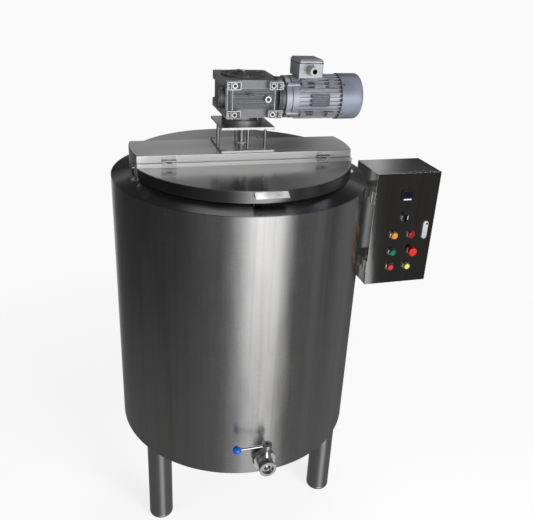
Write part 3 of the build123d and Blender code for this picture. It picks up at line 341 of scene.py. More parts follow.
# upright gives the flanges along the bridge a painted reflection as well as coarser roughness.
SHEET_X = brushed_steel("sheet_steel_x", 0.60, 0.22, (14, 900, 900), upright=0.40)
LID = brushed_steel("lid_steel", 0.29, 0.18, (900, 12, 12), anisotropy=0.3, smudge=0.75, upright=0.42)
CONE = brushed_steel("cone_steel", 0.34, 0.20, "around", smudge=0.7)
HANDLE = polished_steel("handle_steel", 0.85, 0.30)
LEG = brushed_steel("leg_steel", 0.60, 0.22, (900, 900, 10))
# The cabinet's folded edges carry a painted highlight (edge).
CABINET = brushed_steel(
    "cabinet_steel", 0.36, 0.09, (700, 700, 9), anisotropy=0.3, smudge=0.7, edge=1.2 * MM, streaks=0.3
)
POLISHED = polished_steel("polished_steel")
SATIN = polished_steel("satin_steel", 0.62, 0.26)
# The gearbox's recessed front panel gets a painted shade (hollow).
CASTING = cast_metal("gearbox_casting", (0.20, 0.205, 0.22), 0.40, hollow=(PANEL_Z, PANEL_HALF_HEIGHT, 0.47))
CASTING_DARK = cast_metal("dark_casting", (0.09, 0.092, 0.10), 0.45)
FLANGE = polished_steel("flange_face", 0.50, 0.40)
WELD = polished_steel("weld_bead", 0.80, 0.34)
VALVE = polished_steel("valve_steel", 0.92, 0.20)
LOCK = cast_metal("lock_zinc", (0.52, 0.53, 0.55), 0.32, 0.25, (0.8, 0.8, 0.82))
PLATE = cast_metal("nameplate_metal", (0.10, 0.105, 0.12), 0.38, 0.6, (0.4, 0.4, 0.42))
PALE = moulded("pale_plastic", (0.66, 0.67, 0.70), 0.35)
MOTOR = cast_metal("motor_casting", (0.42, 0.435, 0.47), 0.40)
COVER = cast_metal("fan_cover_paint", (0.26, 0.285, 0.35), 0.36, 0.40)
ZINC = polished_steel("zinc_plate", 0.55, 0.30)
MACHINED = polished_steel("machined_face", 0.88, 0.35)
BRONZE = cast_metal("bronze", (0.60, 0.38, 0.17), 0.30, 1.0, (0.8, 0.6, 0.35))
FOAM = moulded("foam", (0.78, 0.68, 0.42), 0.9)
SILICONE = moulded("silicone", (0.72, 0.72, 0.70), 0.55)
PTFE = moulded("ptfe", (0.85, 0.85, 0.82), 0.4)
BLACK = moulded("black_plastic", (0.012, 0.012, 0.014), 0.28)
GREY_PLASTIC = moulded("grey_plastic", (0.55, 0.55, 0.53), 0.5)
GREEN = moulded("green_button", (0.0, 0.16, 0.10), 0.22, Coat_Weight=0.4)
RED = moulded("red_button", (0.62, 0.02, 0.015), 0.2, Coat_Weight=0.5)
ROSE = moulded("rose_button", (0.55, 0.03, 0.04), 0.22, Coat_Weight=0.4)
YELLOW = moulded("yellow_button", (0.62, 0.58, 0.14), 0.25, Coat_Weight=0.4)
LENSES = two_lenses("lamp_lenses", (0.72, 0.27, 0.01), (0.34, 0.008, 0.008), LAMPS_MIDDLE_X)
BLUE = moulded("blue_knob", (0.0, 0.13, 0.52), 0.12, Coat_Weight=1.0, Coat_Roughness=0.05)
DARK_GLASS = moulded("dark_glass", (0.004, 0.004, 0.012), 0.08, Coat_Weight=1.0)
STATOR = cast_metal("stator_laminations", (0.16, 0.13, 0.11), 0.5, 0.8)

FINISH = {
    SHELL: ("outer_shell",),
    VESSEL: ("inner_vessel", "bottom_plate", "cooling_jacket"),
    CONE: ("shoulder_cone",),
    SHEET_X: ("bridge", "stand_base_plate", "stand_top_plate", "cabinet_bracket"),
    LID: ("front_lid", "rear_lid"),
    HANDLE: ("front_lid_handle", "rear_lid_handle"),
    LEG: ("legs",),
    CABINET: ("cabinet_body", "cabinet_door"),
    POLISHED: ("outlet_pipe", "valve_ball", "control_bodies"),
    VALVE: ("valve_body", "union_nut", "valve_handle"),
    SATIN: (
        "agitator_shaft", "agitator_paddle", "stand_posts", "seal_housing", "fixed_hinge_leaves",
        "front_lid_hinges", "rear_lid_hinges", "door_hinges", "bridge_brackets",
    ),
    LOCK: ("lock_lever",),
    CASTING: ("gearbox_housing",),
    CASTING_DARK: ("gearbox_cover", "worm_end_cap"),
    FLANGE: ("output_flange",),
    MOTOR: ("motor_frame", "motor_end_shields", "terminal_box"),
    COVER: ("fan_cover",),
    ZINC: ("gearbox_screws", "drive_bearings", "worm", "rotor", "cable_glands"),
    BRONZE: ("worm_wheel",),
    FOAM: ("insulation",),
    SILICONE: ("lid_gasket",),
    PTFE: ("shaft_seal",),
    BLACK: ("cooling_fan", "selector_knob", "display"),
    GREY_PLASTIC: ("switchgear",),
    GREEN: ("button_green",),
    RED: ("button_stop",),
    ROSE: ("button_red",),
    YELLOW: ("button_yellow",),
    LENSES: ("indicator_lamps",),
    BLUE: ("valve_knob",),
    STATOR: ("stator",),
}
for finish, nodes in FINISH.items():
    for node in nodes:
        for slot in NODES[node].material_slots:
            slot.material = finish


# ---------------------------------------------------------------- mesh helpers
def in_scene(name, data):
    """A new object in the scene."""
    made = bpy.data.objects.new(name, data)
    bpy.context.scene.collection.objects.link(made)
    return made


def ride_mesh(name, mesh_data, material, body, bevel=0.0, segments=2):
    """Turns a bmesh into a smooth-shaded piece that rides on a CAD body."""
    bmesh.ops.recalc_face_normals(mesh_data, faces=mesh_data.faces)
    mesh = bpy.data.meshes.new(name)
    mesh_data.to_mesh(mesh)
    mesh_data.free()
    piece = in_scene(name, mesh)
    mesh.materials.append(material)
    if bevel:
        edge = piece.modifiers.new("edge", "BEVEL")
        edge.width = bevel
        edge.segments = segments
        edge.limit_method = "ANGLE"
        edge.angle_limit = math.radians(35)
    for face in mesh.polygons:
        face.use_smooth = True
    mesh.set_sharp_from_angle(angle=math.radians(32))
    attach(piece, body)


def facing(origin, normal, up=(0, 0, 1)):
    """A frame at origin whose z is the normal and whose y leans towards up."""
    z = Vector(normal).normalized()
    x = Vector(up).cross(z).normalized()
    y = z.cross(x)
    return Matrix.Translation(origin) @ Matrix((x, y, z)).transposed().to_4x4()


def front_of(node):
    """A frame in the middle of the front of a node's box, with z towards the viewer."""
    low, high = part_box(node)
    return facing(((low[0] + high[0]) / 2, low[1], (low[2] + high[2]) / 2), FRONT)


def circle(count, radius, middle=(0.0, 0.0)):
    """Points round a circle, as (x, y)."""
    turns = [2 * math.pi * k / count for k in range(count)]
    return [(middle[0] + radius * math.cos(turn), middle[1] + radius * math.sin(turn)) for turn in turns]


def circle_path(middle, radius, step):
    count = max(12, int(2 * math.pi * radius / step))
    return [Vector((x, y, middle[2])) for x, y in circle(count, radius, middle)]


def add_outline(mesh_data, place, points, low, high):
    """Extrudes a flat outline from low to high along the z of the frame place."""
    bottom = [mesh_data.verts.new(place @ Vector((x, y, low))) for x, y in points]
    top = [mesh_data.verts.new(place @ Vector((x, y, high))) for x, y in points]
    mesh_data.faces.new(bottom[::-1])
    mesh_data.faces.new(top)
    for i, corner in enumerate(bottom):
        j = (i + 1) % len(bottom)
        mesh_data.faces.new((corner, bottom[j], top[j], top[i]))


def add_bar(mesh_data, place, middle, size, low, high, round_corner=0.0):
    """A flat bar with optional rounded corners."""
    half_x, half_y = size[0] / 2, size[1] / 2
    steps = 5 if round_corner else 1
    points = []
    for sign_x, sign_y, start in ((1, 1, 0), (-1, 1, 90), (-1, -1, 180), (1, -1, 270)):
        for k in range(steps):
            turn = math.radians(start + (90 * k / (steps - 1) if steps > 1 else 0))
            points.append((
                middle[0] + sign_x * (half_x - round_corner) + round_corner * math.cos(turn),
                middle[1] + sign_y * (half_y - round_corner) + round_corner * math.sin(turn),
            ))
    add_outline(mesh_data, place, points, low, high)


def add_lathe(mesh_data, place, profile, count=32, middle=(0.0, 0.0)):
    """Turns a closed (radius, height) profile about a line along the z of the frame place."""
    axis_r = 1e-7
    rings = []
    for radius, height in profile:
        points = circle(count, radius, middle) if radius > axis_r else [middle]
        rings.append([mesh_data.verts.new(place @ Vector((x, y, height))) for x, y in points])
    hollow = profile[0][0] > axis_r and profile[-1][0] > axis_r
    for first, second in zip(rings, rings[1:] + rings[:1] if hollow else rings[1:]):
        for k in range(count):
            corners = []
            for ring, index in ((first, k), (first, k + 1), (second, k + 1), (second, k)):
                vert = ring[index % len(ring)]
                if vert not in corners:
                    corners.append(vert)
            if len(corners) > 2:
                mesh_data.faces.new(corners)


def add_bead(mesh_data, path, radius, ripple, closed=True):
    """A weld bead along a path, with the small overlapping ripples that welding leaves."""
    rings = []
    count = 8
    for i, point in enumerate(path):
        before = path[i - 1] if i or closed else point
        after = path[(i + 1) % len(path)] if i + 1 < len(path) or closed else point
        along = (after - before).normalized()
        side = along.cross(Vector((0, 0, 1)))
        side = side.normalized() if side.length > 0.1 else Vector((1, 0, 0))
        lift = side.cross(along).normalized()
        size = radius * (1 + ripple * math.sin(2.1 * i) + 0.5 * ripple * math.sin(0.37 * i))
        ring = [point + size * (x * side + y * lift) for x, y in circle(count, 1.0)]
        rings.append([mesh_data.verts.new(corner) for corner in ring])
    for first, second in zip(rings, rings[1:] + rings[:1] if closed else rings[1:]):
        for k in range(count):
            j = (k + 1) % count
            mesh_data.faces.new((first[k], first[j], second[j], second[k]))
    if not closed:
        mesh_data.faces.new(rings[0][::-1])
        mesh_data.faces.new(rings[-1])


def add_hex_head(mesh_data, place, middle, across, height):
    """A hex bolt head on a round washer."""
    washer_r, washer_top, washer_bottom = 0.62 * across, 0.8 * MM, -0.3 * MM
    add_outline(mesh_data, place, circle(6, across / math.sqrt(3), middle), washer_top, height)
    profile = ((0, washer_bottom), (washer_r, washer_bottom), (washer_r, washer_top), (0, washer_top))
    add_lathe(mesh_data, place, profile, 24, middle)


# ---------------------------------------------------------------- weld beads on the tank
def weld_shell_edges(bottom, top, shell_r):
    welds = bmesh.new()
    add_bead(welds, circle_path((0, 0, top + 0.2 * MM), shell_r - 1.7 * MM, 4 * MM), 1.3 * MM, 0.10)
    add_bead(welds, circle_path((0, 0, bottom), shell_r - 1.9 * MM, 5 * MM), 1.5 * MM, 0.10)
    ride_mesh("shell_edge_welds", welds, WELD, "tank")


def weld_cone_seam(shell_top, shell_r):
    """The cone's own seam, up its slope a little left of the front."""
    turn = math.radians(CONE_SEAM_DEGREES)
    outward = Vector((math.sin(turn), -math.cos(turn), 0))
    lid_low, lid_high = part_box("front_lid")
    upper_r = (lid_high[0] - lid_low[0]) / 2 + 1.5 * MM
    slope = (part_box("shoulder_cone")[1][2] - shell_top) / (shell_r - CONE_TOP_R)
    start = (shell_r - 3 * MM) * outward + Vector((0, 0, shell_top + 1.0 * MM))
    stop = upper_r * outward + Vector((0, 0, shell_top + slope * (shell_r - upper_r) - 0.2 * MM))
    steps = 22
    weld = bmesh.new()
    add_bead(weld, [start.lerp(stop, k / steps) for k in range(steps + 1)], 0.9 * MM, 0.2, closed=False)
    ride_mesh("cone_seam", weld, WELD, "tank")


def weld_legs(tank_bottom):
    """Beads where each leg meets the tank, and where its rounded end is welded on."""
    welds = bmesh.new()
    for degrees in (90, 210, 330):
        turn = math.radians(degrees)
        x, y = LEG_PITCH * math.cos(turn), LEG_PITCH * math.sin(turn)
        add_bead(welds, circle_path((x, y, tank_bottom - 0.5 * MM), LEG_R, 4 * MM), 1.8 * MM, 0.15)
        add_bead(welds, circle_path((x, y, LEG_END_WELD_Z), LEG_R - 0.5 * MM, 4 * MM), 1.0 * MM, 0.12)
    ride_mesh("leg_welds", welds, WELD, "tank")


def weld_posts():
    """Beads round both ends of the four posts of the drive's stand."""
    low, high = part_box("stand_posts")
    lower_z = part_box("stand_base_plate")[1][2] + 0.6 * MM
    upper_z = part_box("stand_top_plate")[0][2] - 0.6 * MM
    welds = bmesh.new()
    for x in (low[0] + POST_R, high[0] - POST_R):
        for y in (low[1] + POST_R, high[1] - POST_R):
            for z in (lower_z, upper_z):
                add_bead(welds, circle_path((x, y, z), POST_R + 0.15 * MM, 1.5 * MM), 1.2 * MM, 0.2)
    ride_mesh("post_welds", welds, WELD, "tank")


def build_welds():
    low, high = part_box("outer_shell")
    shell_r = (high[0] - low[0]) / 2
    weld_shell_edges(low[2], high[2], shell_r)
    weld_cone_seam(high[2], shell_r)
    weld_legs(low[2])
    weld_posts()


# ---------------------------------------------------------------- gearbox front
def build_foot_pads(front):
    """Machined pads with a rim, a ring round the bolt hole, a divider and three teeth, and dark plates over
    the cast hollows as painted shade.
    """
    sink, proud, hollow_top = -0.3 * MM, 0.45 * MM, 0.12 * MM
    half_w, half_h = 18.2 * MM, 9.7 * MM
    line = 1.7 * MM
    ring = ((4.4 * MM, sink), (7.0 * MM, sink), (7.0 * MM, proud), (4.4 * MM, proud))
    faces = bmesh.new()
    hollows = bmesh.new()

    def raise_line(x, z, width, height):
        add_bar(faces, front, (x, z), (width, height), sink, proud)

    for side in (-1, 1):
        hole_x, pad_x = PAD_HOLE_X[side], PAD_X[side]
        outer = pad_x + side * half_w
        divider = hole_x + side * 9.5 * MM
        left, right = hole_x - 6.6 * MM, hole_x + 6.6 * MM
        for middle_z in (-PAD_Z, PAD_Z):
            for end in (-1, 1):
                raise_line(pad_x, middle_z + end * half_h, 2 * half_w, line)
                raise_line(pad_x + end * half_w, middle_z, line, 2 * half_h)
            add_lathe(faces, front, ring, 28, (hole_x, middle_z))
            raise_line(divider, middle_z, line, 2 * half_h)
            for tooth in (-1, 0, 1):
                reach = abs(outer - divider) * (0.62 if tooth else 0.45)
                raise_line(outer - side * reach / 2, middle_z + tooth * 4.6 * MM, reach, line)
            # Dark plates over the cast hollows: painted shade.
            for x0, x1, z0, z1 in (
                (pad_x - half_w, left, -half_h, half_h), (right, pad_x + half_w, -half_h, half_h),
                (left, right, 6.4 * MM, half_h), (left, right, -half_h, -6.4 * MM),
            ):
                middle = ((x0 + x1) / 2, middle_z + (z0 + z1) / 2)
                add_bar(hollows, front, middle, (x1 - x0, z1 - z0), sink, hollow_top)
    ride_mesh("pad_faces", faces, MACHINED, "tank", 0.15 * MM, 1)
    ride_mesh("pad_hollow_shade", hollows, CASTING_DARK, "tank")


def build_rail_edge_highlights(front):
    """Painted highlights: bright strips along the upright edges of the rails that join the pads."""
    edges = bmesh.new()
    for x in (-55.2 * MM, -69.5 * MM, 61.5 * MM):
        add_bar(edges, front, (x, 0), (1.5 * MM, 54 * MM), -PANEL_DEPTH, -3.2 * MM)
    ride_mesh("rail_edge_highlights", edges, MACHINED, "tank", 0.2 * MM, 1)


def build_oil_plug(front, face):
    """A bright ring with a dark sight glass in it."""
    plug_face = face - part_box("gearbox_screws")[0][1]
    ring = bmesh.new()
    add_lathe(ring, front, (
        (5.0 * MM, plug_face - 2 * MM), (9.2 * MM, plug_face - 2 * MM), (9.2 * MM, plug_face - 0.2 * MM),
        (8.6 * MM, plug_face + 0.4 * MM), (5.4 * MM, plug_face + 0.4 * MM), (5.0 * MM, plug_face),
    ), 36, OIL_PLUG)
    ride_mesh("plug_ring", ring, MACHINED, "tank")
    glass = bmesh.new()
    add_lathe(glass, front, (
        (0, plug_face - 1.5 * MM), (5.2 * MM, plug_face - 1.5 * MM), (5.2 * MM, plug_face - 0.2 * MM),
        (3.5 * MM, plug_face + 0.3 * MM), (0, plug_face + 0.35 * MM),
    ), 28, OIL_PLUG)
    ride_mesh("plug_socket", glass, BLACK, "tank")


def build_casting_marks(front):
    """Two raised blocks on the ribbed panel, left blank."""
    marks = bmesh.new()
    add_bar(marks, front, (-2 * MM, 13 * MM), (19 * MM, 8 * MM), -PANEL_DEPTH, -4.4 * MM, 1.5 * MM)
    add_bar(marks, front, (-33 * MM, 13 * MM), (22 * MM, 3 * MM), -PANEL_DEPTH, -4.9 * MM, 1.0 * MM)
    ride_mesh("casting_marks", marks, CASTING_DARK, "tank", 0.5 * MM)


def build_breather_cap():
    cap = bmesh.new()
    top = facing((0, 0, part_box("gearbox_cover")[1][2]), (0, 0, 1), (0, 1, 0))
    add_lathe(cap, top, (
        (0, -0.5 * MM), (8 * MM, -0.5 * MM), (8 * MM, 1.6 * MM), (6.6 * MM, 2.6 * MM), (3 * MM, 2.9 * MM),
        (0, 3.0 * MM),
    ), 36)
    ride_mesh("breather_cap", cap, MACHINED, "tank")


def build_gearbox_details():
    low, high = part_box("gearbox_housing")
    face = low[1]
    front = facing((0, face, (low[2] + high[2]) / 2), FRONT)
    build_foot_pads(front)
    build_rail_edge_highlights(front)
    build_oil_plug(front, face)
    build_casting_marks(front)
    build_breather_cap()


# ---------------------------------------------------------------- motor
def outward_at(degrees):
    """The direction out of the motor's axis, in degrees up from the front."""
    turn = math.radians(degrees)
    return Vector((0, -math.cos(turn), math.sin(turn)))


def build_motor_fixings(axis, frame_r, cover_x, cover_r):
    """Pads on the finned frame, and the bolts of the pads, the end shield and the fan cover."""
    pads = bmesh.new()
    bolts = bmesh.new()
    for degrees in (42, -40):
        normal = outward_at(degrees)
        for x in (162 * MM, 221 * MM):
            spot = axis + Vector((x, 0, 0)) + (frame_r - 4 * MM) * normal
            add_bar(pads, facing(spot, normal), (0, 0), (27 * MM, 13 * MM), -6 * MM, 3.4 * MM, 2.5 * MM)
            on_pad = facing(spot + 3.3 * MM * normal, normal)
            for bolt_x in (-7 * MM, 7 * MM):
                add_hex_head(bolts, on_pad, (bolt_x, 0), 5 * MM, 1.8 * MM)
    ride_mesh("motor_pads", pads, FLANGE, "tank", 0.9 * MM, 3)

    shield_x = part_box("motor_end_shields")[0][0] + 10 * MM
    for degrees in (135, 45, -45, -135):
        spot = axis + Vector((shield_x, 0, 0)) + SHIELD_BOLT_R * outward_at(degrees)
        add_hex_head(bolts, facing(spot, (-1, 0, 0)), (0, 0), 8 * MM, 4.5 * MM)
    for degrees in (-40, 40, 140, 220):
        normal = outward_at(degrees)
        spot = axis + Vector((cover_x + 7 * MM, 0, 0)) + (cover_r - 1.4 * MM) * normal
        add_hex_head(bolts, facing(spot, normal), (0, 0), 5 * MM, 1.3 * MM)
    ride_mesh("motor_bolts", bolts, ZINC, "tank", 0.2 * MM, 1)


def build_cover_gap_shade(axis, cover_x, cover_r):
    """Painted shade: a dark ring in the gap between the fan cover and the frame."""
    inner, outer, width = cover_r - 3 * MM, cover_r - 0.15 * MM, 1.8 * MM
    gap_shade = bmesh.new()
    start = facing(axis + Vector((cover_x - 0.4 * MM, 0, 0)), (1, 0, 0))
    add_lathe(gap_shade, start, ((inner, 0), (outer, 0), (outer, width), (inner, width)), 96)
    ride_mesh("fan_cover_gap_shade", gap_shade, CASTING_DARK, "tank")


def build_nameplate(axis, frame_r):
    """A riveted plate with rows of blank raised fields."""
    place = facing(axis + Vector((190 * MM, -frame_r - 0.45 * MM, 0)), FRONT)
    plate = bmesh.new()
    add_bar(plate, place, (0, 0), (52 * MM, 35 * MM), -2 * MM, 0.4 * MM, 2.5 * MM)
    ride_mesh("nameplate", plate, PLATE, "tank", 0.15 * MM, 1)
    marks = bmesh.new()
    for row, widths in enumerate(((34, 6), (12, 9, 14), (20, 15), (9, 12, 10), (25, 8))):
        x = -21 * MM
        for width in widths:
            size = (width * MM, 2.1 * MM)
            add_bar(marks, place, (x + size[0] / 2, (11 - 5.4 * row) * MM), size, 0.2 * MM, 0.62 * MM)
            x += size[0] + 2 * MM
    rivet = ((0, 0.2 * MM), (1.6 * MM, 0.2 * MM), (1.3 * MM, 0.8 * MM), (0, 1.0 * MM))
    for x in (-23.5 * MM, 23.5 * MM):
        for z in (-15 * MM, 15 * MM):
            add_lathe(marks, place, rivet, 16, (x, z))
    ride_mesh("nameplate_fields", marks, CASTING, "tank")


def build_terminal_trim():
    """The gasket under the terminal box's lid, and the lid's four screws."""
    low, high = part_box("terminal_box")
    x, y = (low[0] + high[0]) / 2, (low[1] + high[1]) / 2
    gasket = bmesh.new()
    seam = Matrix.Translation((x, y, high[2] - 9.2 * MM))
    add_bar(gasket, seam, (0, 0), (71.4 * MM, 81.4 * MM), -2.0 * MM, 0.6 * MM, 4.6 * MM)
    ride_mesh("terminal_gasket", gasket, BLACK, "tank")
    screws = bmesh.new()
    head = ((0, 0), (3.2 * MM, 0), (3.2 * MM, 0.8 * MM), (2.4 * MM, 1.15 * MM), (0, 1.15 * MM))
    for across in (-29 * MM, 29 * MM):
        for along in (-34 * MM, 34 * MM):
            add_lathe(screws, Matrix.Translation((x + across, y + along, high[2] - 1.2 * MM)), head, 20)
    ride_mesh("terminal_screws", screws, ZINC, "tank")


def build_motor_details():
    low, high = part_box("motor_frame")
    gear_low, gear_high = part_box("gearbox_housing")
    cover_low, cover_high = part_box("fan_cover")
    axis = Vector((0, (low[1] + high[1]) / 2, (gear_low[2] + gear_high[2]) / 2))
    frame_r = (high[1] - low[1]) / 2
    cover_r = (cover_high[1] - cover_low[1]) / 2
    build_motor_fixings(axis, frame_r, cover_low[0], cover_r)
    build_cover_gap_shade(axis, cover_low[0], cover_r)
    build_nameplate(axis, frame_r)
    build_terminal_trim()


# ---------------------------------------------------------------- control cabinet
def build_display():
    """Dark glass over the window, and a pale strip below it."""
    front = front_of("display")
    glass = bmesh.new()
    add_bar(glass, front, (0, 3 * MM), (31.4 * MM, 18.4 * MM), -2.2 * MM, -0.5 * MM, 1.0 * MM)
    ride_mesh("display_glass", glass, DARK_GLASS, "door", 0.25 * MM)
    strip = bmesh.new()
    add_bar(strip, front, (1 * MM, -12.6 * MM), (27 * MM, 4.2 * MM), -0.5 * MM, 0.35 * MM, 1.2 * MM)
    ride_mesh("display_strip", strip, PALE, "door", 0.15 * MM)


def build_selector():
    """A pale pointer on the knob, which is also a painted highlight along its blade, and a fixed bright ring
    round its foot.
    """
    knob = front_of("selector_knob")
    pointer = bmesh.new()
    add_bar(pointer, knob, (0, 6 * MM), (2.2 * MM, 11 * MM), -0.4 * MM, 0.25 * MM, 0.8 * MM)
    ride_mesh("selector_pointer_highlight", pointer, PALE, "selector", 0.1 * MM, 1)
    collar = bmesh.new()
    add_lathe(collar, knob, (
        (12.2 * MM, -12.6 * MM), (14.2 * MM, -12.6 * MM), (14.2 * MM, -11.2 * MM), (13.4 * MM, -10.2 * MM),
        (12.2 * MM, -10.2 * MM),
    ), 48)
    ride_mesh("selector_ring", collar, POLISHED, "door")


def build_keyhole():
    low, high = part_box("lock_lever")
    pivot = facing(((low[0] + high[0]) / 2, low[1], LOCK_PIVOT_Z), FRONT)
    keyhole = bmesh.new()
    add_lathe(keyhole, pivot, (
        (0, -0.5 * MM), (3.6 * MM, -0.5 * MM), (3.6 * MM, 0.15 * MM), (2.6 * MM, 0.35 * MM), (0, 0.2 * MM),
    ), 24)
    ride_mesh("lock_keyhole", keyhole, BLACK, "lock")


def build_door_gasket():
    """A seal round the back of the door."""
    low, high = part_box("cabinet_door")
    width, height = high[0] - low[0], high[2] - low[2]
    back = facing(((low[0] + high[0]) / 2, high[1], (low[2] + high[2]) / 2), FRONT)
    seal, inset, front_z, back_z = 8 * MM, 9 * MM, 6 * MM, 1.2 * MM
    gasket = bmesh.new()
    for end in (-1, 1):
        across, upright = (width - 10 * MM, seal), (seal, height - 26.2 * MM)
        add_bar(gasket, back, (0, end * (height / 2 - inset)), across, back_z, front_z, 1.0 * MM)
        add_bar(gasket, back, (end * (width / 2 - inset), 0), upright, back_z, front_z, 1.0 * MM)
    ride_mesh("door_gasket", gasket, BLACK, "door", 0.4 * MM)


def build_cabinet_details():
    build_display()
    build_selector()
    build_keyhole()
    build_door_gasket()


# ---------------------------------------------------------------- studio
BACKDROP = 0.955
COOL = (1.0, 1.0, 1.01)
CEILING_LAMP = Vector((0.12, 0.47, 0.87)).normalized()
CEILING_STRIP = Vector((0.20, 0.20, 0.98)).normalized()

# Light of the room's walls, as (degrees right of the front, level): below the tank's middle and above it.
LOW_WALLS = (
    (-180, 0.90), (-169, 0.45), (-158, 0.10), (-150, 0.06), (-125, 0.03), (-75, 0.025), (-45, 0.06),
    (-34, 0.09), (-29, 0.06), (-20, 0.20), (-14, 0.40), (-9, 0.62), (-2, 1.15), (5, 1.35), (21, 1.38),
    (27, 1.10), (31, 0.50), (35, 0.16), (44, 0.07), (60, 0.15), (72, 0.09), (85, 0.10), (102, 0.16),
    (125, 0.10), (150, 0.08), (158, 0.10), (169, 0.45), (180, 0.90),
)
HIGH_WALLS = (
    (-180, 0.03), (-150, 0.02), (-100, 0.05), (-50, 0.12), (-20, 0.50), (-6, 2.60), (2, 3.60), (12, 3.30),
    (16, 2.20), (19, 1.60), (22, 0.60), (30, 0.25), (100, 0.12), (140, 0.04), (151.5, 0.06), (153, 0.85),
    (155, 0.55), (159, 0.40), (160.5, 0.06), (163, 0.06), (165, 0.24), (168, 0.36), (171, 0.52), (177, 0.52),
    (179, 0.03), (180, 0.03),
)


def build_world():
    """The room that the steel mirrors: a bright window, dim walls, a lit ceiling; white for the camera."""
    world = bpy.data.worlds.new("studio")
    bpy.context.scene.world = world
    world.use_nodes = True
    world.node_tree.nodes.clear()
    room = Nodes(world.node_tree)
    direction = room.node("ShaderNodeTexCoord").outputs["Generated"]
    x, y, z = room.split(direction)
    turn = room.math("ARCTAN2", x, room.math("MULTIPLY", y, -1.0))
    azimuth = room.math("MULTIPLY_ADD", turn, 0.5 / math.pi, 0.5)

    def fade(value, start, stop, low=0.0, high=1.0):
        return room.spread(value, low, high, start, stop, "SMOOTHSTEP")

    def walls(levels):
        return room.colours(azimuth, [(0.5 + degrees / 360, shade(COOL, level)) for degrees, level in levels])

    def blend(factor, colour, level):
        return room.mix(factor, colour, (*grey(level), 1))

    # Rays that go down see the walls fade; rays that go up see two bands of ceiling, a lamp and a strip.
    low_walls = blend(fade(z, -0.66, -0.40, 0.72, 0.0), walls(LOW_WALLS), 0.14)
    ceiling = blend(fade(z, 0.275, 0.325), walls(HIGH_WALLS), 0.30)
    ceiling = blend(fade(z, 0.355, 0.40), ceiling, 0.04)
    ceiling = blend(fade(room.dot(direction, CEILING_LAMP), 0.95, 0.995), ceiling, 0.55)
    ceiling = blend(fade(room.dot(direction, CEILING_STRIP), 0.975, 0.995), ceiling, 2.3)
    mirrored = room.mix(fade(z, -0.30, 0.05), low_walls, ceiling)
    seen = blend(room.node("ShaderNodeLightPath").outputs["Is Camera Ray"], mirrored, BACKDROP)
    background = room.node("ShaderNodeBackground")
    room.put(seen, background.inputs["Color"])
    output = room.node("ShaderNodeOutputWorld")
    room.put(background.outputs[0], output.inputs[0])


def stage_quad(name, corners, material):
    """A flat studio surface, which is not part of the object."""
    mesh = bpy.data.meshes.new(name)
    mesh.from_pydata(corners, [], [(0, 1, 2, 3)])
    mesh.materials.append(material)
    quad = in_scene(name, mesh)
    return quad


def build_floor():
    """A pale floor: matt and faintly shaded round the tank, plain white towards the backdrop."""
    half = 14.0
    near_level = 0.26
    m = MaterialNodes(
        "floor_paint", grey(near_level), 0.0, 0.9, Specular_IOR_Level=0.0, Emission_Color=(1, 1, 1, 1)
    )
    distance = m.node("ShaderNodeVectorMath", operation="LENGTH")
    m.put(m.place, distance.inputs[0])
    far = m.spread(distance.outputs["Value"], 0.0, 1.0, 0.5, 2.2)
    m.feed(m.colours(far, [(0.0, grey(near_level)), (1.0, grey(0.0))]), "Base Color")
    m.feed(m.spread(far, 0.80, BACKDROP, 0.0, 1.0), "Emission Strength")
    m.feed(m.spread(m.noise(m.place, 60.0), 0.86, 0.94), "Roughness")
    corners = [(-half, -half, 0), (half, -half, 0), (half, half, 0), (-half, half, 0)]
    floor = stage_quad("floor", corners, m.material)
    floor.visible_glossy = False


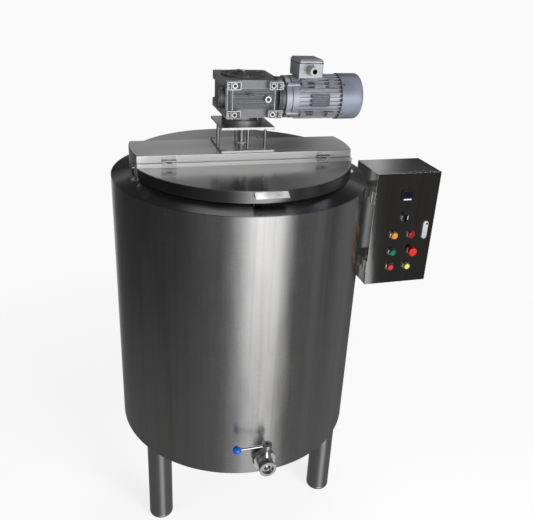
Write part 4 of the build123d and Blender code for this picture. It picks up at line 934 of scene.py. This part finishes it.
def build_flag():
    """A dark flag to the right, which only mirrored rays see, so that the cabinet's door stays dark."""
    warm = (1, 0.96, 0.92, 1)
    m = MaterialNodes("flag_cloth", grey(0.02), 0.0, 0.95, Emission_Color=warm, Emission_Strength=0.05)
    m.feed(m.spread(m.noise(m.place, 90.0), 0.9, 1.0), "Roughness")
    corners = [(0.665, -0.45, 0.40), (1.00, -0.45, 0.40), (1.00, -0.45, 1.05), (0.58, -0.45, 1.05)]
    flag = stage_quad("flag", corners, m.material)
    for ray in ("camera", "diffuse", "shadow", "transmission", "volume_scatter"):
        setattr(flag, "visible_" + ray, False)


def area_light(name, place, target, size, power):
    """A soft light that is seen neither by the camera nor in mirrored rays."""
    data = bpy.data.lights.new(name, "AREA")
    data.shape = "RECTANGLE"
    data.size, data.size_y = size
    data.energy = power
    lamp = in_scene(name, data)
    lamp.location = place
    lamp.rotation_euler = (Vector(target) - Vector(place)).to_track_quat("-Z", "Y").to_euler()
    lamp.visible_glossy = False
    lamp.visible_camera = False


def build_camera():
    """The viewing angle: 17 degrees to the left of the front, looking 25 degrees down, slightly rolled."""
    azimuth, pitch, roll = math.radians(-16.99), math.radians(25.11), math.radians(2.96)
    level = Vector((math.cos(azimuth), math.sin(azimuth), 0))
    ahead = Vector((-math.sin(azimuth), math.cos(azimuth), 0))
    back = -math.cos(pitch) * ahead + Vector((0, 0, math.sin(pitch)))
    up = back.cross(level)
    right = math.cos(roll) * level + math.sin(roll) * up
    top = math.cos(roll) * up - math.sin(roll) * level
    eye = (-0.4413, -1.7583, 1.6963)
    data = bpy.data.cameras.new("camera")
    data.sensor_width = 36.0
    data.lens = 42.6
    data.clip_end = 60.0
    camera = in_scene("camera", data)
    turn = Matrix((right, top, back)).transposed().to_4x4()
    camera.matrix_world = Matrix.Translation(eye) @ turn
    bpy.context.scene.camera = camera


build_welds()
build_gearbox_details()
build_motor_details()
build_cabinet_details()
build_world()
build_floor()
build_flag()
area_light("key", (1.3, -2.7, 1.35), (0.1, -0.1, 1.3), (1.4, 1.2), 85)
area_light("fill", (-2.4, -1.6, 2.4), (0.0, 0, 1.0), (1.8, 1.8), 14)
area_light("rim", (0.6, 2.8, 2.6), (0, 0, 1.1), (2.0, 1.2), 25)
build_camera()
bpy.context.scene.view_settings.view_transform = "Standard"
